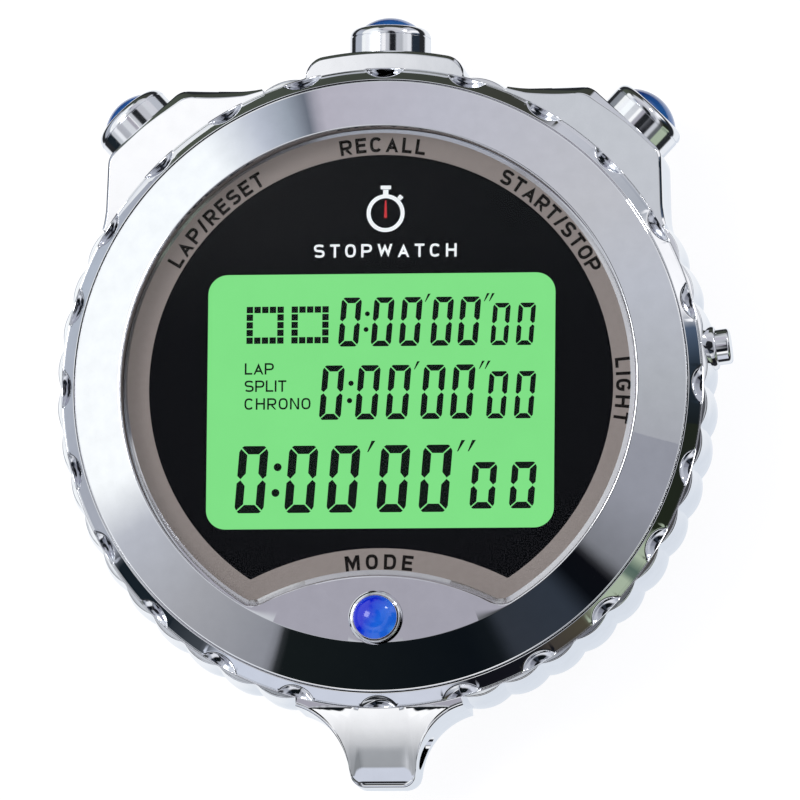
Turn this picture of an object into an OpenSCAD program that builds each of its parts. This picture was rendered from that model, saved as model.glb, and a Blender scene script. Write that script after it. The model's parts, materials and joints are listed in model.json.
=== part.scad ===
// Digital sports stopwatch in a chrome-plated die-cast case, with three pushers on the rim,
// a light button at the side and a mode button on the face.
// Millimetres. The watch lies on its back: the origin is the centre of the back cover's outer
// face, +Z points out of the display, +Y to 12 o'clock and +X to the light button.

/* [Case] */
// Outer radius over the grip lobes
case_r = 35; // [34:0.5:44]
// Height of the ears' front face above the back
case_front = 12.3; // [12:0.1:16]
// Height of the ears' rear face above the back
case_rear = 2.4; // [2:0.1:3]
// Radius of the hollow that holds the movement
cavity_r = 28.6; // [28.4:0.1:29]
// Number of grip lobes round the rim
lobe_count = 48; // [36:12:60]
// Radius of one grip lobe
lobe_r = 4.5; // [3:0.1:6]
// How far the lobes stand out from the bevel band's outer edge
lobe_proud = 0.95; // [0.6:0.05:1.5]
// Radial width of the bevel band
band_run = 1.35; // [0.8:0.05:2]
// Rise of the bevel band
band_rise = 1.3; // [0.6:0.05:2]
// Number of scoops in the bevel band
scoop_count = 24; // [12:12:36]
// Radius of the ball that cuts a scoop
scoop_r = 4.42; // [4:0.02:5]

/* [Bezel and window] */
// Rise of the wide ring from its outer to its inner edge
ring_rise = 1.9; // [1:0.1:3]
// Radius of the window lens
lens_r = 27.2; // [26.6:0.1:27.8]
// Thickness of the window lens
lens_t = 1.9; // [1:0.1:2.4]
// Depth of the lens below the ring's inner edge
lens_recess = 0.5; // [0.2:0.1:1]
// Bevel on the lens's front edge
lens_bevel = 0.45; // [0.2:0.05:0.8]
// Gap between the lens and the bezel
lens_gap = 0.25; // [0.1:0.05:0.4]
// Radius of the arc that cuts the window's lower edge
land_arc_r = 27.2; // [24:0.1:32]
// Distance from the watch's centre to that arc's centre
land_arc_y = 47.5; // [46:0.1:54]
// Rounding of the window's two lower corners
corner_r = 2.2; // [1:0.1:3]
// Width of the printed legend ring beside the dial
legend_w = 2.5; // [1.5:0.1:3.5]
// Width of the printed legend ring above the mode button
legend_low_w = 3; // [1.5:0.1:3.5]
// Width of the display opening in the dial
display_w = 37; // [30:0.1:38]
// Height of the display opening in the dial
display_h = 27.2; // [22:0.1:28]
// Display centre's distance below the watch's centre
display_drop = 1.6; // [0:0.1:2.4]

/* [Pushers] */
// Radius of the three pushers
pusher_r = 4.3; // [3.4:0.1:4.4]
// Height of a pusher above its seat, without the jewel
pusher_h = 3; // [2.4:0.1:5]
// Travel of the three pushers
pusher_travel = 1.2; // [0.6:0.1:1.3]
// Radius of a pusher's stem
stem_r = 1.5; // [1.2:0.05:1.8]
// Radius of a pusher's jewel
jewel_r = 3.1; // [2.4:0.1:3.2]
// Height of a jewel above its pusher
jewel_h = 1.2; // [0.6:0.1:2]
// Angle of the side pushers from 12 o'clock
ear_angle = 43; // [38:0.5:50]
// Height of the ears' seats above the lobes
ear_proud = 3.4; // [2:0.1:5]
// Half width of an ear's flat seat
ear_half = 4.3; // [4:0.1:6]
// Rounding of an ear's corners
ear_round = 2.2; // [1:0.1:3]
// Height of the 12 o'clock boss above the lobes
boss_proud = 1.1; // [0.8:0.1:2]
// Half width of the 12 o'clock boss
boss_half = 8.5; // [7:0.1:10]

/* [Light and mode buttons] */
// Angle of the light button above 3 o'clock
light_angle = 7.5; // [0:0.5:12]
// Radius of the light button
light_r = 1.9; // [1.4:0.1:2.2]
// Travel of the light button
light_travel = 0.8; // [0.4:0.1:0.9]
// Radius of the mode button
mode_r = 2.35; // [2:0.05:2.5]
// Distance of the mode button below the watch's centre
mode_y = 25; // [24.4:0.1:25.2]
// Travel of the mode button
mode_travel = 0.8; // [0.4:0.1:0.9]

/* [Lanyard lug] */
// Distance of the lug's tip from the watch's centre
lug_y = 42; // [40:0.1:52]
// Half width of the lug's tip
lug_half = 3.55; // [3:0.05:6]
// Radius of the hollow curve at each side of the lug
lug_flare = 7.4; // [6:0.1:9]
// Radius of the lanyard hole
eye_r = 1.75; // [1:0.05:2]
// Distance of the lanyard hole from the lug's tip
eye_in = 3.8; // [3:0.1:5]

/* [Back and movement] */
// Thickness of the back cover
cover_t = 1.6; // [1.4:0.1:2.2]
// Rim of the case outside the back cover
cover_rim = 2.7; // [2.2:0.1:3]
// Thickness of the back gasket
gasket_t = 0.4; // [0.2:0.05:0.6]
// Radius of the battery
battery_r = 10; // [8:0.1:10.4]
// Thickness of the battery
battery_t = 3.2; // [1.6:0.1:3.4]
// Radius of the circuit board
board_r = 27.6; // [27.4:0.1:28]
// Thickness of the circuit board
board_t = 0.8; // [0.6:0.1:1]

/* [Hidden] */
$fn = 96;
BIG = 200;
seat_gap = 0.1;      // round parts that drop into a seat
slide_gap = 0.05;    // stems and screws in their holes
barrel_gap = 0.1;    // pusher barrels in their wells
press_gap = 0.02;    // parts pressed or glued in

// Case
band_r = case_r - lobe_proud;
recess_r = band_r - band_run;
ring_edge = case_front + band_rise;
ring_top = ring_edge + ring_rise;
bezel_drop = 0.3;
bezel_seat = case_front - bezel_drop;
case_back = 0.4;
cover_r = case_r - cover_rim;
cover_seat = cover_t + gasket_t;
pusher_z = (case_front + case_rear) / 2;
ear_seat = case_r + ear_proud;
boss_seat = case_r + boss_proud;
boss_round = 2.3;
lobe_shoulder = 0.3;  // how far the lobes lean in at their front and rear edges
seam_turn = 1.3;      // turned shapes start here, clear of the lobes' and scoops' own edges
edge_lap = 0.02;      // shapes that meet at an edge pass each other by this much

// Bezel, window and dial, from the front down
rim_w = 0.15;
ring_in_r = lens_r + lens_gap + rim_w;
lens_top = ring_top - lens_recess;
lens_z = lens_top - lens_t;
print_t = 0.2;
dial_z = lens_z - print_t;
pad_t = 0.5;
pad_w = 0.9;
lens_seat = dial_z - pad_t;
lip_w = 1.1;
lip_t = 1;
bezel_lip = lens_seat - lip_t;
bezel_low_r = cavity_r - 0.2;

// Display, from the front down
film_t = 0.2;
glass_t = 0.8;
guide_t = 1.5;
display_top = dial_z - 0.2;
front_z = display_top - film_t - glass_t;
rear_z = front_z - glass_t;
reflector_z = rear_z - film_t;
guide_z = reflector_z - guide_t;
glass_w = display_w + 2.4;
glass_h = display_h + 2.4;
ledge_h = 2;          // strip of the front glass that carries the contacts
zebra_w = 1.4;

// Movement, from the back up
sheet_t = 0.2;
sheet_z = cover_t;
plus_t = 0.3;
plus_z = cover_t + sheet_t + 0.2;
battery_z = plus_z + plus_t;
minus_t = 0.5;
board_z = battery_z + battery_t + minus_t;
board_top = board_z + board_t;
frame_r = cavity_r - 0.3;
frame_top = bezel_lip - 0.1;
battery_xy = [9, -11];
piezo_xy = [-10.5, 10.5];
piezo_r = 8;
ceramic_r = 6;

// Fasteners
back_screw_r = 0.8;
back_screw_pcd_r = (cover_r + cavity_r) / 2 + 0.2;
back_screw_len = 3.8;
back_head_r = 1.45;
back_head_t = 0.8;
back_head_sink = 0.1;
back_screw_angles = [for (i = [0:5]) i * 60];
bezel_screw_r = 0.7;
bezel_screw_pcd_r = (recess_r + cavity_r) / 2;
bezel_head_r = 1.3;
bezel_head_t = 0.8;
bezel_head_z = 5;
bezel_bite = 1.4;
bezel_screw_angles = [25, 155, 205, 335];
frame_screw_r = 0.6;
frame_head_r = 1.1;
frame_head_t = 0.6;
frame_bite = 2.4;
frame_screw_places = [for (a = [20, 160, 200, 340]) [24.4 * cos(a), 24.4 * sin(a)]];

// Pushers: local z runs outwards, 0 is the seat
well_depth = 3.2;
skirt_low = 1.6;
cup_top = 1.3;
cup_r = pusher_r - 0.8;
barrel_round = 1.25;
barrel_top_r = pusher_r - barrel_round;
jewel_seat = pusher_h - 0.6;
coil_r = 0.25;
coil_mean_r = (cup_r + stem_r) / 2 + 0.35;
stem_tip_r = 26.8;      // distance of a resting stem's tip from the watch's centre
clip_t = 0.4;
clip_cut = 0.35;
clip_grow = 0.9;
ring_tube = 0.27;
contact_gap = 0.05;
notch_w = 2 * (stem_r + clip_grow) + 1;  // room for a stem and its clip in the movement

// Light button: local z runs outwards, 0 is the bushing's front face
light_seat = case_r + 0.4;
light_flange_r = light_r + 0.45;
light_flange_t = 1.1;
light_spot = case_r - 1.1;
light_body_r = 1.7;
light_stem_r = 0.8;
light_cap_low = 0.2;
light_cap_h = 1.5;
light_wire = 0.15;

// Mode button
collar_t = 0.4;
collar_in_r = mode_r + 0.07;
collar_out_r = collar_in_r + collar_t;
collar_proud = 0.5;
mode_floor = lens_seat;
mode_top = ring_top + 0.7;
mode_cap_t = 1.8;
mode_stem_r = 1;
mode_tip = board_top + 1.4;
mode_jewel_r = mode_r - 0.13;
mode_jewel_h = 1.1;
mode_jewel_sink = 0.4;
mode_wire = 0.2;
mode_clip_z = bezel_lip - 0.5;

LAP = 90 + ear_angle;
RECALL = 90;
START = 90 - ear_angle;

// ---- Shapes that several parts share ----

// A cylinder from z0 to z1
module rod(r, z0, z1) {
    translate([0, 0, z0]) cylinder(r = r, h = z1 - z0);
}

// A ring from z0 to z1
module tube(r_in, r_out, z0, z1) {
    difference() {
        rod(r_out, z0, z1);
        rod(r_in, z0 - 1, z1 + 1);
    }
}

// A block centred on [x, y], from z0 to z1
module block(x, y, w, d, z0, z1) {
    translate([x - w / 2, y - d / 2, z0]) cube([w, d, z1 - z0]);
}

// Puts a child at an angle round the rim, with its z pointing outwards from distance r
module on_rim(angle, r) {
    rotate([0, 0, angle]) translate([r, 0, pusher_z]) rotate([0, 90, 0]) children();
}

module on_circle(angles, r) {
    for (a = angles) rotate([0, 0, a]) translate([r, 0, 0]) children();
}

// A rounded rectangle centred on the origin
module round_rect(w, h, r) {
    square([w - 2 * r, h], center = true);
    square([w, h - 2 * r], center = true);
    for (x = [-1, 1], y = [-1, 1])
        translate([x * (w / 2 - r), y * (h / 2 - r)]) circle(r);
}

// The window's outline grown by g: a disc cut by the land's arc, with rounded lower corners.
// low is how much further the arc is moved inwards.
module window(g, low = 0) {
    big = lens_r + g;
    arc = land_arc_r - g + low;
    rc = max(0.3, corner_r + g);
    // centre of the corner's rounding, inside the disc and outside the arc
    a = big - rc;
    b = arc + rc;
    cy = (b * b - a * a - land_arc_y * land_arc_y) / (2 * land_arc_y);
    cx = sqrt(a * a - cy * cy);
    t_disc = [cx, cy] * (big / a);
    t_arc = [0, -land_arc_y] + ([cx, cy] + [0, land_arc_y]) * (arc / b);
    difference() {
        circle(big, $fn = 180);
        translate([0, -land_arc_y]) circle(arc, $fn = 180);
        for (s = [-1, 1]) difference() {
            polygon([[s * cx, cy], [s * t_disc[0], t_disc[1]],
                [s * (t_disc[0] + 3), t_disc[1] - 3 * rc],
                [s * t_arc[0], t_arc[1] - 3 * rc], [s * t_arc[0], t_arc[1]]]);
            translate([s * cx, cy]) circle(rc + edge_lap / 10);
        }
    }
}

// A solid with the window's outline
module window_plate(g, z0, z1, low = 0) {
    translate([0, 0, z0]) linear_extrude(z1 - z0) window(g, low);
}

// Points of a round wire wound into a coil, one ring of points after another
function coil_points(mean, wire, z0, z1, turns, steps, sides) =
    [for (i = [0:turns * steps]) let (
        a = 360 * i / steps,
        z = z0 + wire + (z1 - z0 - 2 * wire) * i / (turns * steps))
        for (j = [0:sides - 1]) let (
            t = 360 * j / sides,
            r = mean + wire * cos(t))
            [r * cos(a), r * sin(a), z + wire * sin(t)]];

module coil(mean, wire, z0, z1, turns, steps = 20, sides = 8) {
    n = turns * steps;
    polyhedron(
        points = coil_points(mean, wire, z0, z1, turns, steps, sides),
        faces = concat(
            [[for (j = [sides - 1:-1:0]) j]],
            [[for (j = [0:sides - 1]) n * sides + j]],
            [for (i = [0:n - 1], j = [0:sides - 1]) let (k = (j + 1) % sides)
                [i * sides + j, i * sides + k, (i + 1) * sides + k, (i + 1) * sides + j]]),
        convexity = 10);
}

// A cross-slotted screw that points along +z, its head from z0 to z0 + head_t
module cross_screw(head_r, head_t, shank_r, z0, z1) {
    slot = 0.35;
    difference() {
        union() {
            rod(head_r, z0, z0 + head_t);
            rod(shank_r, z0 + head_t, z1);
        }
        for (a = [0, 90]) rotate([0, 0, a])
            block(0, 0, head_r * 1.25, slot, z0 - 1, z0 + head_t * 0.55);
    }
}

// An open retaining ring round a stem
module open_clip(stem, z0) {
    difference() {
        rod(stem + clip_grow, z0, z0 + clip_t);
        rod(stem - clip_cut + press_gap, z0 - 1, z0 + clip_t + 1);
        block(stem + clip_grow, 0, 2 * (stem + clip_grow), stem, z0 - 1, z0 + clip_t + 1);
    }
}

// ---- Case ----

module lobed_outline() {
    circle(band_r - 0.4, $fn = 180);
    for (i = [0:lobe_count - 1]) rotate(360 * (i + 0.5) / lobe_count)
        translate([case_r - lobe_r, 0]) circle(lobe_r, $fn = 48);
}

// The lobed skirt, with its front and rear edges leaning in
module grip_skirt() {
    lean = 3.6;         // height over which the wall leans in, front and rear
    drop = 0.45;        // height of the front slope
    rear_drop = 1.87;   // height of the rear slope
    rear_in = 0.7;      // the rear slope's reach inside the band's outer edge
    run_in = 0.3;       // the front slope runs on into the band by this much
    slope = drop / (lobe_proud - lobe_shoulder);
    inner = band_r - edge_lap - run_in;
    tall = case_front + run_in * slope;
    out = case_r + 3;
    difference() {
        translate([0, 0, case_back]) linear_extrude(tall - case_back) lobed_outline();
        rotate([0, 0, seam_turn]) rotate_extrude($fn = 180) {
            polygon([[inner, tall], [case_r - lobe_shoulder, case_front - drop],
                [case_r + 0.1, case_front - lean], [out, case_front - lean],
                [out, case_front + 1], [inner, case_front + 1]]);
            polygon([[band_r - rear_in, case_back], [case_r - lobe_shoulder, case_back + rear_drop],
                [case_r + 0.1, case_back + lean], [out, case_back + lean],
                [out, case_back - 1], [band_r - rear_in, case_back - 1]]);
        }
    }
}

// The sloping band between the skirt and the ring, with both its ends inside their neighbours
module bevel_band() {
    lap = 0.15;
    rotate_extrude($fn = 180) polygon([[cavity_r - 1, case_front - 1], [band_r, case_front - 1],
        [band_r + lap * band_run, case_front - lap * band_rise],
        [recess_r - lap * band_run, ring_edge + lap * band_rise],
        [cavity_r - 1, ring_edge + lap * band_rise]]);
}

// One side ear, pointing along +x
module ear() {
    reach = ear_seat - ear_round;
    flank = reach + ear_half + ear_round * sqrt(2);
    foot = band_r - 2;
    translate([0, 0, case_rear]) linear_extrude(case_front - case_rear) {
        for (s = [-1, 1]) translate([reach, s * ear_half]) circle(ear_round, $fn = 48);
        polygon([[foot, -(flank - foot)], [reach + ear_round / sqrt(2), -ear_half - ear_round / sqrt(2)],
            [reach, -ear_half], [ear_seat, -ear_half], [ear_seat, ear_half], [reach, ear_half],
            [reach + ear_round / sqrt(2), ear_half + ear_round / sqrt(2)], [foot, flank - foot]]);
    }
}

// The raised seat at 12 o'clock, concentric with the rim
module boss() {
    side = boss_half - boss_round;
    low = sqrt(pow(boss_seat - boss_round, 2) - side * side);
    translate([0, 0, case_rear]) linear_extrude(case_front - case_rear) {
        intersection() {
            circle(boss_seat, $fn = 180);
            translate([-side, low - 2]) square([2 * side, boss_seat]);
        }
        for (s = [-1, 1]) {
            translate([s * side, low]) circle(boss_round, $fn = 48);
            translate([s * side - boss_round, low - 4]) square([2 * boss_round, 4]);
        }
    }
}

// The lanyard lug: its plan and its side view meet
module lug() {
    tip_round = 1.5;
    root = band_r - 4;
    flare_y = lug_y - 1;
    flare_x = lug_half + lug_flare;
    slope_z = case_front - 0.3;
    intersection() {
        translate([0, 0, -1]) linear_extrude(case_front + 2) {
            difference() {
                translate([-flare_x, -flare_y]) square([2 * flare_x, flare_y - root]);
                for (s = [-1, 1]) translate([s * flare_x, -flare_y]) circle(lug_flare);
            }
            difference() {
                translate([-lug_half, -lug_y]) square([2 * lug_half, lug_y - root]);
                for (s = [-1, 1]) translate([s * (lug_half - tip_round), tip_round - lug_y])
                    difference() {
                        translate([s > 0 ? 0 : -2 * tip_round, -2 * tip_round])
                            square(2 * tip_round);
                        circle(tip_round);
                    }
            }
        }
        rotate([90, 0, 90]) translate([0, 0, -BIG / 2]) linear_extrude(BIG) polygon([
            [-root + 4, case_rear], [-lug_y + 1.2, case_rear], [-lug_y, case_rear + 1.2],
            [-lug_y, case_rear + 3.6], [-lug_y + 0.9, case_rear + 4.8],
            [-lug_y + 2.3, slope_z - 2.6], [-lug_y + 4.3, slope_z - 1.1],
            [-lug_y + 6.6, slope_z - 0.25], [-band_r, slope_z], [-root + 4, slope_z]]);
    }
}

eye_pos = [0, eye_in - lug_y, case_rear + 3.3];

// The well, stem hole and inner mouth of a pusher
module pusher_bore(angle, seat) {
    on_rim(angle, seat) {
        rod(pusher_r + barrel_gap, -well_depth, BIG / 10);
        rod(stem_r + slide_gap, cavity_r - seat - 2, 1);
    }
}

module case_body() {
    color("gainsboro") difference() {
        union() {
            grip_skirt();
            rotate([0, 0, 2 * seam_turn]) bevel_band();
            for (a = [LAP, START]) rotate([0, 0, a]) ear();
            boss();
            lug();
        }
        rod(cavity_r, -1, ring_top, $fn = 180);
        rod(cover_r + seat_gap, -1, cover_seat);
        rod(recess_r, bezel_seat, ring_top);
        intersection() {
            rod(band_r - edge_lap, case_front - 3, ring_top);
            for (i = [0:scoop_count - 1]) rotate([0, 0, 360 * i / scoop_count + 90])
                translate([band_r + scoop_r - 1.19, 0, case_front + 2.12])
                    sphere(scoop_r, $fn = 64);
        }
        pusher_bore(LAP, ear_seat);
        pusher_bore(RECALL, boss_seat);
        pusher_bore(START, ear_seat);
        on_rim(light_angle, 0) {
            rod(light_flange_r + press_gap, light_spot, BIG);
            rod(light_body_r + press_gap, cavity_r - 2, BIG);
        }
        on_circle(back_screw_angles, back_screw_pcd_r)
            rod(back_screw_r + slide_gap, 0, cover_seat + back_screw_len);
        on_circle(bezel_screw_angles, bezel_screw_pcd_r) {
            rod(bezel_head_r + seat_gap, 0, bezel_head_z);
            rod(bezel_screw_r + slide_gap, 0, ring_top);
        }
        translate([-BIG / 2, eye_pos[1], eye_pos[2]]) rotate([0, 90, 0])
            cylinder(r = eye_r, h = BIG, $fn = 48);
    }
}

module back_cover() {
    groove_r = 20;
    color("silver") difference() {
        rotate_extrude($fn = 180) polygon([[0, 0], [cover_r - 0.5, 0], [cover_r, 0.5],
            [cover_r, cover_t], [0, cover_t]]);
        tube(groove_r, groove_r + 0.6, -1, 0.2);
        on_circle(back_screw_angles, back_screw_pcd_r) {
            rod(back_head_r + seat_gap, -1, back_head_sink + back_head_t);
            rod(back_screw_r + slide_gap, -1, cover_t + 1);
        }
    }
}

module back_gasket() {
    color("dimgray") difference() {
        tube(cavity_r + 0.3, cover_r - 0.2, cover_t, cover_seat);
        on_circle(back_screw_angles, back_screw_pcd_r)
            rod(back_screw_r + 0.2, 0, cover_seat + 1);
    }
}

module back_screws() {
    color("lightgray") on_circle(back_screw_angles, back_screw_pcd_r)
        cross_screw(back_head_r, back_head_t, back_screw_r, back_head_sink,
            cover_seat + back_screw_len - 0.3);
}

// ---- Bezel and window ----

module bezel() {
    color("lightsteelblue") difference() {
        rotate_extrude($fn = 180) polygon([[0, bezel_lip], [bezel_low_r, bezel_lip],
            [bezel_low_r, bezel_seat], [recess_r - seat_gap, bezel_seat],
            [recess_r - seat_gap, ring_edge], [ring_in_r, ring_top], [0, ring_top]]);
        window_plate(lens_gap, lens_seat, ring_top + 1);
        window_plate(-lip_w, bezel_lip - 1, ring_top);
        translate([0, -mode_y, 0]) {
            rod(collar_out_r + press_gap, mode_floor, ring_top + 1);
            rod(mode_stem_r + slide_gap, bezel_lip - 1, ring_top);
        }
        on_circle(bezel_screw_angles, bezel_screw_pcd_r)
            rod(bezel_screw_r + slide_gap, bezel_seat - 1, bezel_seat + bezel_bite + 0.2);
    }
}

module bezel_screws() {
    color("darkgray") on_circle(bezel_screw_angles, bezel_screw_pcd_r)
        cross_screw(bezel_head_r, bezel_head_t, bezel_screw_r, bezel_head_z - bezel_head_t,
            bezel_seat + bezel_bite);
}

module lens() {
    color([0.8, 0.9, 0.95, 0.3]) {
        window_plate(0, lens_z, lens_top - lens_bevel);
        window_plate(-lens_bevel, lens_top - lens_bevel, lens_top);
    }
}

module lens_gasket() {
    color("black") difference() {
        window_plate(-press_gap, lens_seat, dial_z);
        window_plate(-pad_w, lens_seat - 1, dial_z + 1);
    }
}

module dial_panel() {
    color([0.03, 0.03, 0.04]) difference() {
        window_plate(-legend_w, dial_z, lens_z, legend_low_w - legend_w);
        translate([0, -display_drop, dial_z - 1]) linear_extrude(print_t + 2)
            round_rect(display_w, display_h, 2.1);
    }
}

module legend_ring() {
    color([0.55, 0.5, 0.48]) difference() {
        window_plate(0, dial_z, lens_z);
        window_plate(-legend_w, dial_z - 1, lens_z + 1, legend_low_w - legend_w);
    }
}

module mode_collar() {
    color("white") translate([0, -mode_y, 0])
        tube(collar_in_r, collar_out_r, mode_floor, ring_top + collar_proud);
}

// ---- Display ----

module display_film() {
    color([0.5, 0.93, 0.55]) block(0, -display_drop, glass_w - 0.4, glass_h - 0.4,
        front_z + glass_t, display_top);
}

module display_front_glass() {
    color([0.7, 0.9, 0.75, 0.6]) block(0, ledge_h / 2 - display_drop, glass_w,
        glass_h + ledge_h, front_z, front_z + glass_t);
}

module display_rear_glass() {
    color([0.7, 0.9, 0.75, 0.6]) block(0, -display_drop, glass_w, glass_h, rear_z, front_z);
}

module display_reflector() {
    color("white") block(0, -display_drop, glass_w - 1, glass_h - 1, reflector_z, rear_z);
}

module light_guide() {
    color("palegreen") block(0, -display_drop, glass_w - 2.4, glass_h - 1.6, guide_z,
        reflector_z);
}

module backlight_led() {
    color("yellow") block(-glass_w / 2 + 0.6, -display_drop, 1, 3, guide_z,
        guide_z + guide_t - 0.2);
}

module zebra_strip() {
    color("hotpink") block(0, glass_h / 2 - display_drop + ledge_h / 2, glass_w - 3, zebra_w,
        board_top, front_z);
}

// ---- Movement ----

// Outer face of the contact leaf in front of the stem at this angle
function leaf_x(angle) =
    stem_tip_r - (angle == light_angle ? light_travel : pusher_travel) - contact_gap;

module movement_frame() {
    notch_in = 24;
    color("whitesmoke") difference() {
        rod(frame_r, board_top, frame_top);
        // pocket for the display and its light guide
        block(0, ledge_h / 2 - display_drop, glass_w + 0.3, glass_h + ledge_h + 0.3,
            guide_z, frame_top + 1);
        // slot for the contact strip
        block(0, glass_h / 2 - display_drop + ledge_h / 2, glass_w - 2.8, zebra_w + 0.2,
            board_top - 1, frame_top);
        // room for the chip
        block(0, -4, 14, 14, board_top - 1, guide_z - 0.5);
        // notches for the stems and their contacts
        for (a = [LAP, RECALL, START, light_angle]) rotate([0, 0, a])
            block(notch_in + 5, 0, 10, notch_w, board_top - 1,
                pusher_z + stem_r + clip_grow + 0.5);
        translate([0, -mode_y, 0]) rod(3, board_top - 1, frame_top + 1);
        for (p = frame_screw_places) translate([p[0], p[1], 0])
            rod(frame_screw_r + slide_gap, 0, board_top + frame_bite + 0.2);
    }
}

module circuit_board() {
    color("seagreen") difference() {
        rod(board_r, board_z, board_top);
        for (p = frame_screw_places) translate([p[0], p[1], 0])
            rod(frame_screw_r + slide_gap, board_z - 1, board_top + 1);
        // notches for the stems and their clips, as far in as the contacts' leaves
        for (a = [LAP, RECALL, START, light_angle]) rotate([0, 0, a])
            translate([leaf_x(a), -notch_w / 2, board_z - 1]) cube([notch_w, notch_w, board_t + 2]);
    }
}

module frame_screws() {
    color("gold") for (p = frame_screw_places) translate([p[0], p[1], 0])
        cross_screw(frame_head_r, frame_head_t, frame_screw_r, board_z - frame_head_t,
            board_top + frame_bite);
}

module chip_cover() {
    dome_r = 6;
    dome_h = 0.9;
    ball = (dome_r * dome_r + dome_h * dome_h) / (2 * dome_h);
    color("black") intersection() {
        translate([0, -4, board_top + dome_h - ball]) sphere(ball, $fn = 200);
        translate([0, -4, 0]) rod(dome_r + 1, board_top, board_top + dome_h + 1);
    }
}

module quartz_crystal() {
    color("silver") translate([-15, -12, board_z - 1]) rotate([0, 90, 0])
        cylinder(r = 1, h = 6, $fn = 32);
}

module capacitors() {
    color("tan") for (p = [[-4, 20], [8, 12], [14, 14], [-16, -17]])
        block(p[0], p[1], 2, 1.2, board_z - 1, board_z);
}

// A bent leaf in front of each stem, on the board
module side_contacts() {
    leaf_t = 0.15;
    color("goldenrod") for (a = [LAP, RECALL, START, light_angle]) {
        x = leaf_x(a);
        rotate([0, 0, a]) {
            block(x - leaf_t / 2, 0, leaf_t, 3, board_top, pusher_z + 1.2);
            block(x - 0.8, 0, 1.3, 3, board_top, board_top + leaf_t);
        }
    }
}

module mode_switch() {
    color("dimgray") translate([0, -mode_y, 0])
        rod(1.6, board_top, mode_tip - mode_travel - contact_gap);
}

module battery() {
    crimp = 0.8;
    color("lightgray") translate([battery_xy[0], battery_xy[1], 0]) {
        rod(battery_r, battery_z, battery_z + battery_t - 0.3);
        rod(battery_r - crimp, battery_z + battery_t - 0.3, battery_z + battery_t);
    }
}

module battery_plus_contact() {
    strap = 5;
    color("gold") translate([battery_xy[0], battery_xy[1], 0]) {
        block(0, -2, strap, 2 * battery_r - 4, plus_z, battery_z);
        block(0, battery_r + 0.4, strap, 0.3, plus_z, board_z);
        block(0, 4.3, strap, 2 * battery_r - 11.5, plus_z, battery_z);
    }
}

module battery_minus_contact() {
    color("gold") translate([battery_xy[0], battery_xy[1], 0])
        rod(4, board_z - minus_t, board_z);
}

module piezo_disc() {
    color("goldenrod") translate([piezo_xy[0], piezo_xy[1], 0])
        rod(piezo_r, sheet_z + sheet_t, sheet_z + sheet_t + 0.3);
}

module piezo_ceramic() {
    color("white") translate([piezo_xy[0], piezo_xy[1], 0])
        rod(ceramic_r, sheet_z + sheet_t + 0.3, sheet_z + sheet_t + 0.5);
}

module buzzer_springs() {
    color("silver") {
        translate([piezo_xy[0], piezo_xy[1], 0])
            coil(0.8, 0.18, sheet_z + sheet_t + 0.5, board_z, 4, 14, 6);
        translate([piezo_xy[0] - piezo_r + 1.1, piezo_xy[1], 0])
            coil(0.6, 0.18, sheet_z + sheet_t + 0.3, board_z, 4, 14, 6);
    }
}

module insulator_sheet() {
    color("khaki") rod(cavity_r - 0.6, sheet_z, sheet_z + sheet_t);
}

// ---- Pushers ----

// Cap and stem in one turning
module pusher_cap(seat) {
    tip = stem_tip_r - seat;
    clip_z = cavity_r - seat - 0.3 - clip_t;
    seal_z = -well_depth - 1.6;
    color("silver") difference() {
        union() {
            rod(pusher_r, -skirt_low, pusher_h - barrel_round);
            rotate_extrude() translate([barrel_top_r, pusher_h - barrel_round]) intersection() {
                circle(barrel_round, $fn = 64);
                square(barrel_round);
            }
            rod(barrel_top_r, 0, pusher_h);
        }
        rod(cup_r, -skirt_low - 1, cup_top);
        rod(jewel_r + press_gap, jewel_seat, pusher_h + 1);
    }
    color("silver") difference() {
        rod(stem_r, tip, cup_top + 0.2);
        tube(stem_r - 0.5, stem_r + 1, seal_z - 0.35, seal_z + 0.35);
        tube(stem_r - clip_cut, stem_r + 1, clip_z - press_gap, clip_z + clip_t + press_gap);
    }
}

module pusher_jewel() {
    ball = (jewel_r * jewel_r + jewel_h * jewel_h) / (2 * jewel_h);
    color([0.05, 0.15, 0.75]) {
        rod(jewel_r, jewel_seat, pusher_h);
        intersection() {
            translate([0, 0, pusher_h + jewel_h - ball]) sphere(ball);
            rod(jewel_r, pusher_h, pusher_h + jewel_h + 1);
        }
    }
}

module pusher_seal() {
    seal_z = -well_depth - 1.6;
    color("black") rotate_extrude() translate([stem_r - 0.5 + ring_tube + 0.005, seal_z])
        circle(ring_tube, $fn = 24);
}

module pusher_clip(seat) {
    color("gray") open_clip(stem_r, cavity_r - seat - 0.3 - clip_t);
}

module pusher_spring() {
    color("silver") coil(coil_mean_r, coil_r, -well_depth, cup_top, 5);
}

// ---- Light button ----

module light_bushing() {
    color("gainsboro") on_rim(light_angle, 0) difference() {
        union() {
            rod(light_flange_r, light_spot, light_seat);
            rod(light_body_r, cavity_r + 0.05, light_spot + 0.1);
        }
        rod(light_r + 0.06, light_seat - light_flange_t, light_seat + 1);
        rod(light_stem_r + slide_gap, cavity_r - 1, light_seat + 1);
    }
}

module light_cap() {
    low = light_seat - light_cap_low;
    top = light_seat + light_cap_h;
    edge = 0.35;
    clip_z = cavity_r - 0.3 - clip_t;
    seal_z = cavity_r + 2.5;
    color("silver") on_rim(light_angle, 0) difference() {
        union() {
            rod(light_r, low, top - edge);
            translate([0, 0, top - edge]) cylinder(r1 = light_r, r2 = light_r - edge, h = edge);
            rod(light_stem_r, stem_tip_r, low + 0.1);
        }
        tube(light_stem_r - 0.3, light_stem_r + 1, seal_z - 0.2, seal_z + 0.2);
        tube(light_stem_r - 0.25, light_stem_r + 1, clip_z - press_gap,
            clip_z + clip_t + press_gap);
    }
}

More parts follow.
